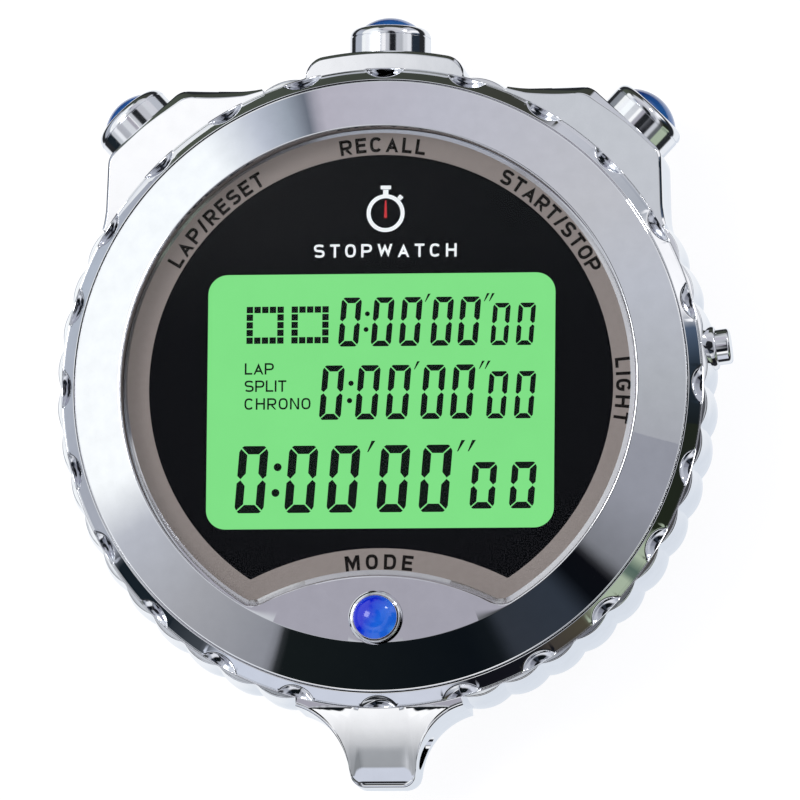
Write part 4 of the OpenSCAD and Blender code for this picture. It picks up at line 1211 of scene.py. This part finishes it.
def jewel_material(name, centre, direction, deep, glow, painted_glow_gain):
    """A blue acrylic cabochon: deep blue, with a painted glow on the side away from the lamp
    and a clear, glossy skin. The glow is a colour ramp along a direction, and it also feeds the
    emission. Its centre is in millimetres."""
    made = bpy.data.materials.new(name)
    made.use_nodes = True
    tree = made.node_tree
    tree.nodes.clear()
    point = add(tree, "ShaderNodeTexCoord").outputs["Object"]
    centred = add(tree, "ShaderNodeMapping",
                  {"Vector": point, "Location": [-c * MM for c in centre]}, vector_type="POINT")
    along = add(tree, "ShaderNodeVectorMath", {0: centred.outputs[0], 1: direction},
                operation="DOT_PRODUCT")
    cloud = add(tree, "ShaderNodeTexNoise", {"Vector": point, "Scale": 700.0})
    mixed = add(tree, "ShaderNodeMath", {0: cloud.outputs["Fac"], 1: 0.12,
                                         2: along.outputs["Value"]}, operation="MULTIPLY_ADD")
    # painted light and shade: a ramp from deep blue to the glow along the given direction, with a
    # little noise, that colours both the surface and its emission
    tint = add(tree, "ShaderNodeValToRGB", {"Fac": mixed.outputs[0]})
    mid = [a + (b - a) * 0.28 for a, b in zip(deep, glow)]
    stops(tint, [(0.0, deep), (0.2, mid), (0.36, mid), (0.5, glow)])
    surface = add(tree, "ShaderNodeBsdfPrincipled",
                  {"Base Color": tint.outputs[0], "Roughness": 0.12, "IOR": 1.49,
                   "Coat Weight": 0.25, "Coat Roughness": 0.02,
                   "Emission Color": tint.outputs[0], "Emission Strength": painted_glow_gain})
    add(tree, "ShaderNodeOutputMaterial", {"Surface": surface.outputs[0]})
    return made


class OBJECT_OT_stopwatch_pushers(bpy.types.Operator):
    """Build the three rim pushers with their stems and jewels"""
    bl_idname = "object.stopwatch_pushers"
    bl_label = "Pushers"

    def execute(self, context):
        s = settings(context)
        metal = chrome(s, "Chrome-plated turned brass", rough=(0.07, 0.11))
        for name in ("lap", "recall", "start"):
            out = SIDE[name]
            seat = reach_mm(name + "_jewel", out)[1] - s.pusher_height - s.jewel_height
            tip = reach_mm(name + "_cap", out)[0] - seat
            top, soft, r = s.pusher_height, s.pusher_soft, s.pusher_radius
            cup, pit = r - 0.8, s.jewel_radius + 0.02
            place = on_rim(out, seat)
            profile = [(0.01, tip), (s.stem_radius - 0.15, tip), (s.stem_radius, tip + 0.15),
                       (s.stem_radius, 1.3), (cup, 1.3), (cup, -s.pusher_skirt + 0.1),
                       (cup + 0.1, -s.pusher_skirt), (r - 0.1, -s.pusher_skirt),
                       (r, -s.pusher_skirt + 0.1), (r, top - soft - 0.16),
                       (r - 0.1, top - soft - 0.12), (r - 0.1, top - soft - 0.05)]
            profile += arc(r - soft, top - soft, soft, 0, 82, 10)
            profile += [(pit + 0.06, top - 0.01), (pit, top - 0.06), (pit, top - 0.6),
                        (0.01, top - 0.6)]
            turned_piece(name + "_pusher", profile, place, metal, name + "_pusher",
                         name + "_cap")
            r = s.jewel_radius
            profile = [(0.01, top - 0.58), (r, top - 0.58), (r, top - 0.02)]
            profile += dome(r, top, s.jewel_height)
            # the direction of the painted glow across each jewel, towards the lower right; the
            # emission at 0.1 is painted light too
            glow = Vector((0.55, -0.5, 0.67)) / (r * MM) * 0.2
            blue = jewel_material("Blue acrylic cabochon, " + name, place @ Vector((0, 0, top)),
                                  glow, s.jewel_deep_painted_shade, s.jewel_painted_glow, 0.1)
            turned_piece(name + "_cabochon", profile, place, blue, name + "_pusher",
                         name + "_jewel", 72)
        return {"FINISHED"}


class OBJECT_OT_stopwatch_light_button(bpy.types.Operator):
    """Build the light button at the side and its bushing"""
    bl_idname = "object.stopwatch_light_button"
    bl_label = "Light button"

    def execute(self, context):
        s = settings(context)
        out = SIDE["light"]
        place = on_rim(out, 0)
        tip, top = reach_mm("light_cap", out)
        foot, seat = reach_mm("light_bushing", out)
        flange, r = s.light_radius + 0.45, s.light_radius
        stem, hole, shelf = 0.8, r + 0.06, s.rim - BUSHING_DEPTH
        bore, pit = stem + 0.05, seat - 1.1
        profile = [(bore, foot), (BUSHING_RADIUS, foot), (BUSHING_RADIUS, shelf), (flange, shelf),
                   (flange, seat - 0.25), (flange - 0.08, seat - 0.08), (flange - 0.25, seat),
                   (hole + 0.06, seat), (hole, seat - 0.06), (hole, pit), (bore, pit)]
        turned_piece("light_collar", profile, place,
                     chrome(s, "Chrome-plated bushing", rough=(0.02, 0.06)), "root",
                     "light_bushing", 72, closed=True)
        profile = [(0.01, tip), (stem - 0.1, tip), (stem, tip + 0.1), (stem, seat - 0.2),
                   (r - 0.1, seat - 0.2), (r, seat - 0.1), (r, top - 0.35)]
        profile += arc(r - 0.35, top - 0.35, 0.35, 10, 90, 7)[:-1] + [(r - 0.4, top), (0.01, top)]
        turned_piece("light_pusher", profile, place,
                     chrome(s, "Chrome-plated pin", rough=(0.02, 0.06)), "light_button",
                     "light_cap", 72)
        return {"FINISHED"}


class OBJECT_OT_stopwatch_mode_button(bpy.types.Operator):
    """Build the mode button on the face: collar, cap and jewel"""
    bl_idname = "object.stopwatch_mode_button"
    bl_label = "Mode button"

    def execute(self, context):
        s = settings(context)
        place = Matrix.Translation((0, MODE_Y, 0))
        outer, inner = COLLAR_HI.x - 0.16, s.mode_radius + 0.07
        low, top = COLLAR_LO.z, COLLAR_HI.z
        profile = [(inner, low), (outer, low), (outer, top - 0.2)]
        profile += arc(outer - 0.2, top - 0.2, 0.2, 15, 90, 5)
        profile += [(inner + 0.08, top), (inner, top - 0.08)]
        turned_piece("mode_ring", profile, place,
                     chrome(s, "Chrome-plated collar", rough=(0.02, 0.06)), "root",
                     "mode_collar", closed=True)
        tip, cap = MODE_LO.z, MODE_HI.z
        r, stem, pit = s.mode_radius, MODE_STEM, s.mode_radius - 0.05
        profile = [(0.01, tip), (stem - 0.1, tip), (stem, tip + 0.1), (stem, cap - 1.8),
                   (r - 0.08, cap - 1.8), (r, cap - 1.72), (r, cap - 0.03), (r - 0.02, cap),
                   (pit + 0.01, cap), (pit, cap - 0.02), (pit, cap - 0.4), (0.01, cap - 0.4)]
        turned_piece("mode_pusher", profile, place,
                     chrome(s, "Chrome-plated mode cap", rough=(0.02, 0.06)), "mode_button",
                     "mode_cap")
        rise = box_mm("mode_jewel")[1].z - cap
        r = s.mode_radius - 0.06
        profile = [(0.01, cap - 0.38), (r, cap - 0.38), (r, cap)] + dome(r, cap, rise)[1:]
        # a stronger painted glow on the mode jewel: a brighter blue ramp towards the lower right,
        # with emission at 0.5 that is painted light
        glow = Vector((0.75, -0.4, 0.2)) / (r * MM) * 0.36
        blue = jewel_material("Blue acrylic cabochon, mode", (0, MODE_Y, cap - 0.9), glow,
                              linear("#0318B0"), linear("#34A0FA"), 0.5)
        turned_piece("mode_cabochon", profile, place, blue, "mode_button",
                     "mode_jewel")
        return {"FINISHED"}


class OBJECT_OT_stopwatch_springs(bpy.types.Operator):
    """Wind the return springs of the five buttons"""
    bl_idname = "object.stopwatch_springs"
    bl_label = "Springs"

    def execute(self, context):
        s = settings(context)
        # Hard-drawn steel wire: bright, with the die's faint lines
        wire_metal = finish("Drawn music wire", linear("#A7AAAE"), linear("#C9CCD0"), 1.0,
                            (0.15, 0.28), 0.0006, 0.1)
        tree = coil_tree()
        rim_spring = (0.25, 2.85, 5, 1.2)
        for name, (wire, mean, turns, travel) in {
                "lap": rim_spring, "recall": rim_spring, "start": rim_spring,
                "light": (0.15, 1.35, 2, 0.8), "mode": (0.2, 1.725, 3, 0.8)}.items():
            out = SIDE.get(name, Vector((0, 0, 1)))
            low, high = reach_mm(name + "_spring", out)
            place = on_rim(out, low) if name in SIDE else \
                Matrix.Translation((0, MODE_Y, low))
            spring = grow(name + "_coil", tree,
                          {"Mean Radius": mean * MM, "Wire Radius": wire * MM,
                           "Height": (high - low - 2 * wire) * MM, "Turns": float(turns),
                           "Material": wire_metal})
            lift = Matrix.Translation((0, 0, wire * MM))
            place.translation *= MM
            spring.data.transform(place @ lift)
            spring.data.shade_smooth()
            settle(spring, "root", [name + "_spring"])
            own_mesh(spring)
        return {"FINISHED"}


# ---- The back and the movement ----

SCREWS = 6              # round the back cover
SCREW_HEAD = 1.45       # radius of a screw's head


def screw(thick, shank, length_mm):
    """A screw standing on its dimpled head at z = 0, its shank pointing up."""
    return turned([(0.01, 0.45), (0.216, 0.45), (0.288, 0), (SCREW_HEAD - 0.15, 0),
                   (SCREW_HEAD, 0.15), (SCREW_HEAD, thick), (shank, thick), (shank, length_mm),
                   (0.01, length_mm)], 32)


class OBJECT_OT_stopwatch_back(bpy.types.Operator):
    """Build the back cover and its ring of screws"""
    bl_idname = "object.stopwatch_back"
    bl_label = "Back"

    def execute(self, context):
        s = settings(context)
        r, thick = COVER_HI.x, COVER_HI.z
        profile = [(0.01, thick), (r, thick), (r, 0.55), (r - 0.03, 0.48), (r - 0.5, 0.02),
                   (r - 0.58, 0), (20.65, 0), (20.6, 0.05), (20.55, 0.2), (20.05, 0.2),
                   (20, 0.05), (19.95, 0), (0.01, 0)]
        points, faces = turned(profile[::-1], 240)
        # Stainless sheet turned on a lathe: fine rings round the middle
        steel = finish("Turned stainless steel", linear("#9A9DA1"), linear("#C3C6CA"), 1.0,
                       (0.22, 0.36), 0.003, 0.35, pattern=NOISE)
        rings = part_of(steel, "ShaderNodeMapping")
        tree = steel.node_tree
        split = add(tree, "ShaderNodeSeparateXYZ", {0: rings.outputs[0]}).outputs
        flat = add(tree, "ShaderNodeCombineXYZ", {"X": split["X"], "Y": split["Y"]})
        reach = add(tree, "ShaderNodeVectorMath", {0: flat.outputs[0]}, operation="LENGTH")
        line = add(tree, "ShaderNodeCombineXYZ", {"X": reach.outputs["Value"]})
        tree.links.new(line.outputs[0], part_of(steel, "ShaderNodeTexNoise").inputs["Vector"])
        cover = piece("cover_plate", points, faces, [steel], "root",
                      ["back_cover"], soft=False)
        low, high = box_mm("back_screws")
        circle = high.x - SCREW_HEAD
        spots = []
        for i in range(SCREWS):
            a = i * TURN / SCREWS
            spots.append((a, Matrix.Translation((circle * math.cos(a), circle * math.sin(a), 0))))
        profile = [(1.61, -1), (1.61, 0), (1.55, 0.06), (1.55, 0.9), (0.85, 0.9),
                   (0.85, thick + 1)]
        cut(cover, [turned_at(profile, at, 48) for _, at in spots])
        soften(cover, 30)
        # Nickel-plated steel screws, their heads faced on a lathe
        plated = finish("Nickel-plated screw", linear("#A2A4A6"), linear("#D0D2D4"), 1.0,
                        (0.18, 0.3), 0.001, 0.12)
        points, faces = screw(0.8, 0.8, high.z - low.z)
        heads = grow("cover_screws", circle_tree(),
                     {"Count": SCREWS, "Radius": circle * MM, "First Angle": 0.0,
                      "Material": plated}, points, faces)
        heads.data.transform(Matrix.Translation((0, 0, low.z * MM)))
        # cross slots, as bars pushed into the heads
        bar, bar_faces = slab([(-0.9, -0.17), (0.9, -0.17), (0.9, 0.17), (-0.9, 0.17)], -1,
                              low.z + 0.44)
        cut(heads, [(placed(bar, at @ Matrix.Rotation(a + turn, 4, "Z")), bar_faces)
                    for a, at in spots for turn in (0, math.pi / 2)])
        soften(heads, 30)
        settle(heads, "root", ["back_screws"])
        return {"FINISHED"}


class OBJECT_OT_stopwatch_movement(bpy.types.Operator):
    """Finish the pieces inside, each in its own material"""
    bl_idname = "object.stopwatch_movement"
    bl_label = "Movement"

    def execute(self, context):
        for nodes, name, dark, light, metallic, rough, bump, grain, stretch, pattern in INSIDE:
            made = finish(name, linear(dark), linear(light), float(metallic), rough, bump, grain,
                          stretch, pattern)
            for node in nodes:
                dress(node, made)
        return {"FINISHED"}


# ---- The stage ----

DIAL_SEES = (-0.1215, 0.1416, 0.9825)    # where the flat dial's reflection points
# What the polished ring sees all round, by compass angle in degrees: white soft box at the
# left, pale wall at the top, black cloth below.
UPPER = [(0, "#A6A8AE"), (14, "#AEB1B6"), (36, "#BBBEC6"), (56, "#BFC0C5"), (90, "#BBBBC5"),
         (109, "#B4B1BC"), (111, "#6A707B"), (114, "#98A0AB"), (119, "#BBC1CD"),
         (128, "#FAFEFF"), (186, "#FCFFFF"), (196, "#B8BBC3"), (214, "#A2A3A8"),
         (233, "#8A8C93"), (235, "#151A1B"), (282, "#0C1116"), (289, "#12171B"),
         (293, "#30353D"), (310, "#2F3640"), (316, "#0A0D12"), (323, "#0C0D12"),
         (327, "#7A7C82"), (345, "#94969F")]
# What a nearly flat face sees: the dark side of the room at the right
INNER = [(0, "#1E2023"), (55, "#232528"), (75, "#A9ACB2"), (110, "#C9CCD1"), (200, "#D9DCE0"),
         (270, "#B9BBC0"), (300, "#2E3033"), (330, "#1B1D20")]
# What a steeper face sees, above the band: mostly the soft boxes
MIDDLE = [(0, "#D4D6DA"), (60, "#CDCFD4"), (100, "#C2C5CA"), (130, "#F2F4F7"), (230, "#E6E8EC"),
          (250, "#FFFFFF"), (290, "#FFFFFF"), (305, "#B9BCC2"), (340, "#CFD1D6")]
# What the lobes' front edges see, just above the band
LOWER = [(0, "#3A3B3F"), (7, "#5A5C60"), (10, "#E6E8EC"), (30, "#F6F6F8"), (36, "#BDBEC5"),
         (60, "#CFCFD5"), (98, "#BDC0C2"), (103, "#343638"), (110, "#3E403F"), (113, "#F2F4F3"),
         (200, "#F4F7F8"), (208, "#C0C4C9"), (230, "#BCC0C6"), (245, "#7C8086"), (250, "#2A2B2E"),
         (256, "#D0D2D6"), (264, "#85888B"), (278, "#8E9195"), (284, "#DADDE0"), (300, "#A5A9B1"),
         (310, "#6A6C74"), (322, "#5C6062"), (333, "#433F3B"), (345, "#4A4B4E"), (352, "#36373A")]
# What the sloping band and the walls see, along the horizon
HORIZON = [(0, "#191E20"), (12, "#26303A"), (20, "#4D5C71"), (24, "#FCFCFE"), (40, "#F8F8FA"),
           (44, "#A5AAB2"), (66, "#C2C4CC"), (70, "#3A3B35"), (100, "#3F443D"),
           (132, "#4C5349"), (136, "#9FA3AE"), (153, "#B2BAC6"), (190, "#A4A8B2"),
           (200, "#A8ACB6"), (203, "#161F26"), (216, "#1C242B"), (226, "#42474D"),
           (230, "#C9CFDC"), (278, "#CCD0DB"), (282, "#101117"), (298, "#15161C"),
           (302, "#403B37"), (311, "#4A4639"), (317, "#A5B39D"), (323.5, "#A5B39D"),
           (325, "#54685F"), (327, "#54685F"), (328.5, "#A8B69F"), (333, "#9FAC97"),
           (336, "#20261B"), (350, "#20251E")]


class OBJECT_OT_stopwatch_stage(bpy.types.Operator):
    """Set the pale floor, the soft light and the camera"""
    bl_idname = "object.stopwatch_stage"
    bl_label = "Stage"

    def execute(self, context):
        s = settings(context)
        scene = context.scene
        scene.view_settings.view_transform = "Standard"
        self.world(scene)
        points, faces = slab([(-1500, -1500), (1500, -1500), (1500, 1500), (-1500, 1500)], -2, 0)
        floor = blank("studio_floor", points, faces)
        # White acrylic light table: glows softly, so that shadows stay faint
        table = finish("White acrylic light table", linear("#737375"), linear("#77777A"), 0.0,
                       (0.5, 0.6), 0.0, 40.0, Emission_Color=s.floor, Emission_Strength=0.98)
        floor.data.materials.append(table)
        floor.visible_glossy = False
        for name, place, power, size in (("key", (-0.55, 0.2, 0.75), s.key_power, 0.35),
                                         ("spark", (0.5, 0.5, 0.38), s.key_power * 0.2, 0.09)):
            lamp = bpy.data.lights.new(name, "AREA")
            lamp.energy, lamp.size = power, size
            holder = bpy.data.objects.new(name, lamp)
            holder.location = place
            holder.rotation_euler = (-Vector(place)).to_track_quat("-Z", "Y").to_euler()
            scene.collection.objects.link(holder)
        self.camera(scene)
        return {"FINISHED"}

    def world(self, scene):
        """Soft boxes and dark cloths all round, seen only as light and reflection."""
        world = bpy.data.worlds.new("Studio")
        scene.world = world
        world.use_nodes = True
        tree = world.node_tree
        tree.nodes.clear()
        way = add(tree, "ShaderNodeTexCoord").outputs["Generated"]
        axes = add(tree, "ShaderNodeSeparateXYZ", {0: way}).outputs

        def compass(x, y):
            """Direction round the axis as a share of a turn."""
            turn = add(tree, "ShaderNodeMath", {0: y, 1: x}, operation="ARCTAN2")
            turn = add(tree, "ShaderNodeMath", {0: turn.outputs[0], 1: 1 / TURN, 2: 1.0},
                       operation="MULTIPLY_ADD")
            return add(tree, "ShaderNodeMath", {0: turn.outputs[0]}, operation="FRACT").outputs[0]

        turn = compass(axes["X"], axes["Y"])
        near = compass(*[add(tree, "ShaderNodeMath", {0: axes[a], 1: DIAL_SEES[i]},
                             operation="SUBTRACT").outputs[0] for i, a in enumerate("XY")])
        bands = []
        for colours in (UPPER, MIDDLE, HORIZON, LOWER, INNER):
            ramp = add(tree, "ShaderNodeValToRGB", {"Fac": near if colours is INNER else turn})
            stops(ramp, [(deg / 360, linear(c)) for deg, c in colours])
            bands.append(ramp.outputs[0])

        # how far a polished face leans from the dial to see a place
        lean = add(tree, "ShaderNodeVectorMath", {0: way, 1: DIAL_SEES},
                   operation="DOT_PRODUCT").outputs["Value"]

        def mix(low, high, below, above, along=lean):
            share = add(tree, "ShaderNodeMapRange", {"Value": along, "From Min": low,
                                                     "From Max": high},
                        interpolation_type="SMOOTHSTEP")
            made = add(tree, "ShaderNodeMix", {0: share.outputs[0], 6: below, 7: above},
                       data_type="RGBA")
            return made.outputs[2]

        def facing(degrees):
            return math.cos(math.radians(2 * degrees))

        # the land sees grey, and the two ears see white and pale grey
        overhead = mix(0.145, 0.155, linear("#A3A1AB"),
                       mix(-0.135, -0.11, linear("#FFFFFF"), linear("#C4C7CC"), axes["X"]),
                       axes["Y"])
        sky = linear("#D6DCE4")
        for outer, inner, colour_seen in (
                (84, 78, linear("#E9ECF0")), (66, 62, linear("#26282B")), (52.5, 50.5, bands[2]),
                (38.5, 36.5, bands[3]), (33, 29, bands[1]), (26, 23, bands[0]),
                (15.5, 13.5, bands[4]), (6.5, 4, overhead)):
            sky = mix(facing(outer), facing(inner), sky, colour_seen)
        seen = add(tree, "ShaderNodeLightPath").outputs["Is Camera Ray"]
        sky = add(tree, "ShaderNodeMix", {0: seen, 6: sky, 7: linear("#FAFAFB")},
                  data_type="RGBA").outputs[2]
        light = add(tree, "ShaderNodeBackground", {"Color": sky, "Strength": 1.12})
        add(tree, "ShaderNodeOutputWorld", {"Surface": light.outputs[0]})

    def camera(self, scene):
        """Nearly straight down on the face, from a little below and to the right."""
        distance, aim = 1.5, Vector((0, 0, 0.0136))
        back = Vector((math.tan(math.radians(7.05)), -math.tan(math.radians(8.2)), 1)).normalized()
        up = Vector((0, 1, 0))
        up = (up - back * up.dot(back)).normalized()
        right = up.cross(back)
        roll = math.radians(0.53)
        right, up = (right * math.cos(roll) + up * math.sin(roll),
                     up * math.cos(roll) - right * math.sin(roll))
        aim += right * 0.0021 - up * 0.00157
        place = Matrix((right, up, back)).transposed().to_4x4()
        place.translation = aim + back * distance
        data = bpy.data.cameras.new("Camera")
        data.sensor_width = 36
        data.lens = 639.4
        data.clip_start, data.clip_end = 0.1, 20
        holder = bpy.data.objects.new("Camera", data)
        scene.collection.objects.link(holder)
        holder.matrix_world = place
        scene.camera = holder


STEPS = [OBJECT_OT_stopwatch_stage, OBJECT_OT_stopwatch_case, OBJECT_OT_stopwatch_ring,
         OBJECT_OT_stopwatch_window, OBJECT_OT_stopwatch_dial, OBJECT_OT_stopwatch_display,
         OBJECT_OT_stopwatch_pushers, OBJECT_OT_stopwatch_light_button,
         OBJECT_OT_stopwatch_mode_button, OBJECT_OT_stopwatch_springs, OBJECT_OT_stopwatch_back,
         OBJECT_OT_stopwatch_movement]
GROUPS = {"case": StopwatchCase, "window": StopwatchWindow, "buttons": StopwatchButtons,
          "finish": StopwatchFinish, "stage": StopwatchStage}


class VIEW3D_PT_stopwatch(bpy.types.Panel):
    """Lists the pieces of the stopwatch"""
    bl_idname = "VIEW3D_PT_stopwatch"
    bl_label = "Stopwatch"
    bl_space_type = "VIEW_3D"
    bl_region_type = "UI"
    bl_category = "Stopwatch"

    def draw(self, context):
        for step in STEPS:
            self.layout.operator(step.bl_idname)
        for group in GROUPS:
            values = getattr(context.scene, "stopwatch_" + group)
            for key in values.bl_rna.properties.keys():
                if key not in ("name", "rna_type"):
                    self.layout.prop(values, key)


def register():
    for made in [*GROUPS.values(), *STEPS, VIEW3D_PT_stopwatch]:
        bpy.utils.register_class(made)
    for group, made in GROUPS.items():
        setattr(bpy.types.Scene, "stopwatch_" + group, bpy.props.PointerProperty(type=made))


def unregister():
    for group in GROUPS:
        delattr(bpy.types.Scene, "stopwatch_" + group)
    for made in [VIEW3D_PT_stopwatch, *reversed(STEPS), *reversed(GROUPS.values())]:
        bpy.utils.unregister_class(made)


def main():
    register()
    bpy.ops.object.stopwatch_stage()
    bpy.ops.object.stopwatch_case()
    bpy.ops.object.stopwatch_ring()
    bpy.ops.object.stopwatch_window()
    bpy.ops.object.stopwatch_dial()
    bpy.ops.object.stopwatch_display()
    bpy.ops.object.stopwatch_pushers()
    bpy.ops.object.stopwatch_light_button()
    bpy.ops.object.stopwatch_mode_button()
    bpy.ops.object.stopwatch_springs()
    bpy.ops.object.stopwatch_back()
    bpy.ops.object.stopwatch_movement()


if __name__ == "__main__":
    main()
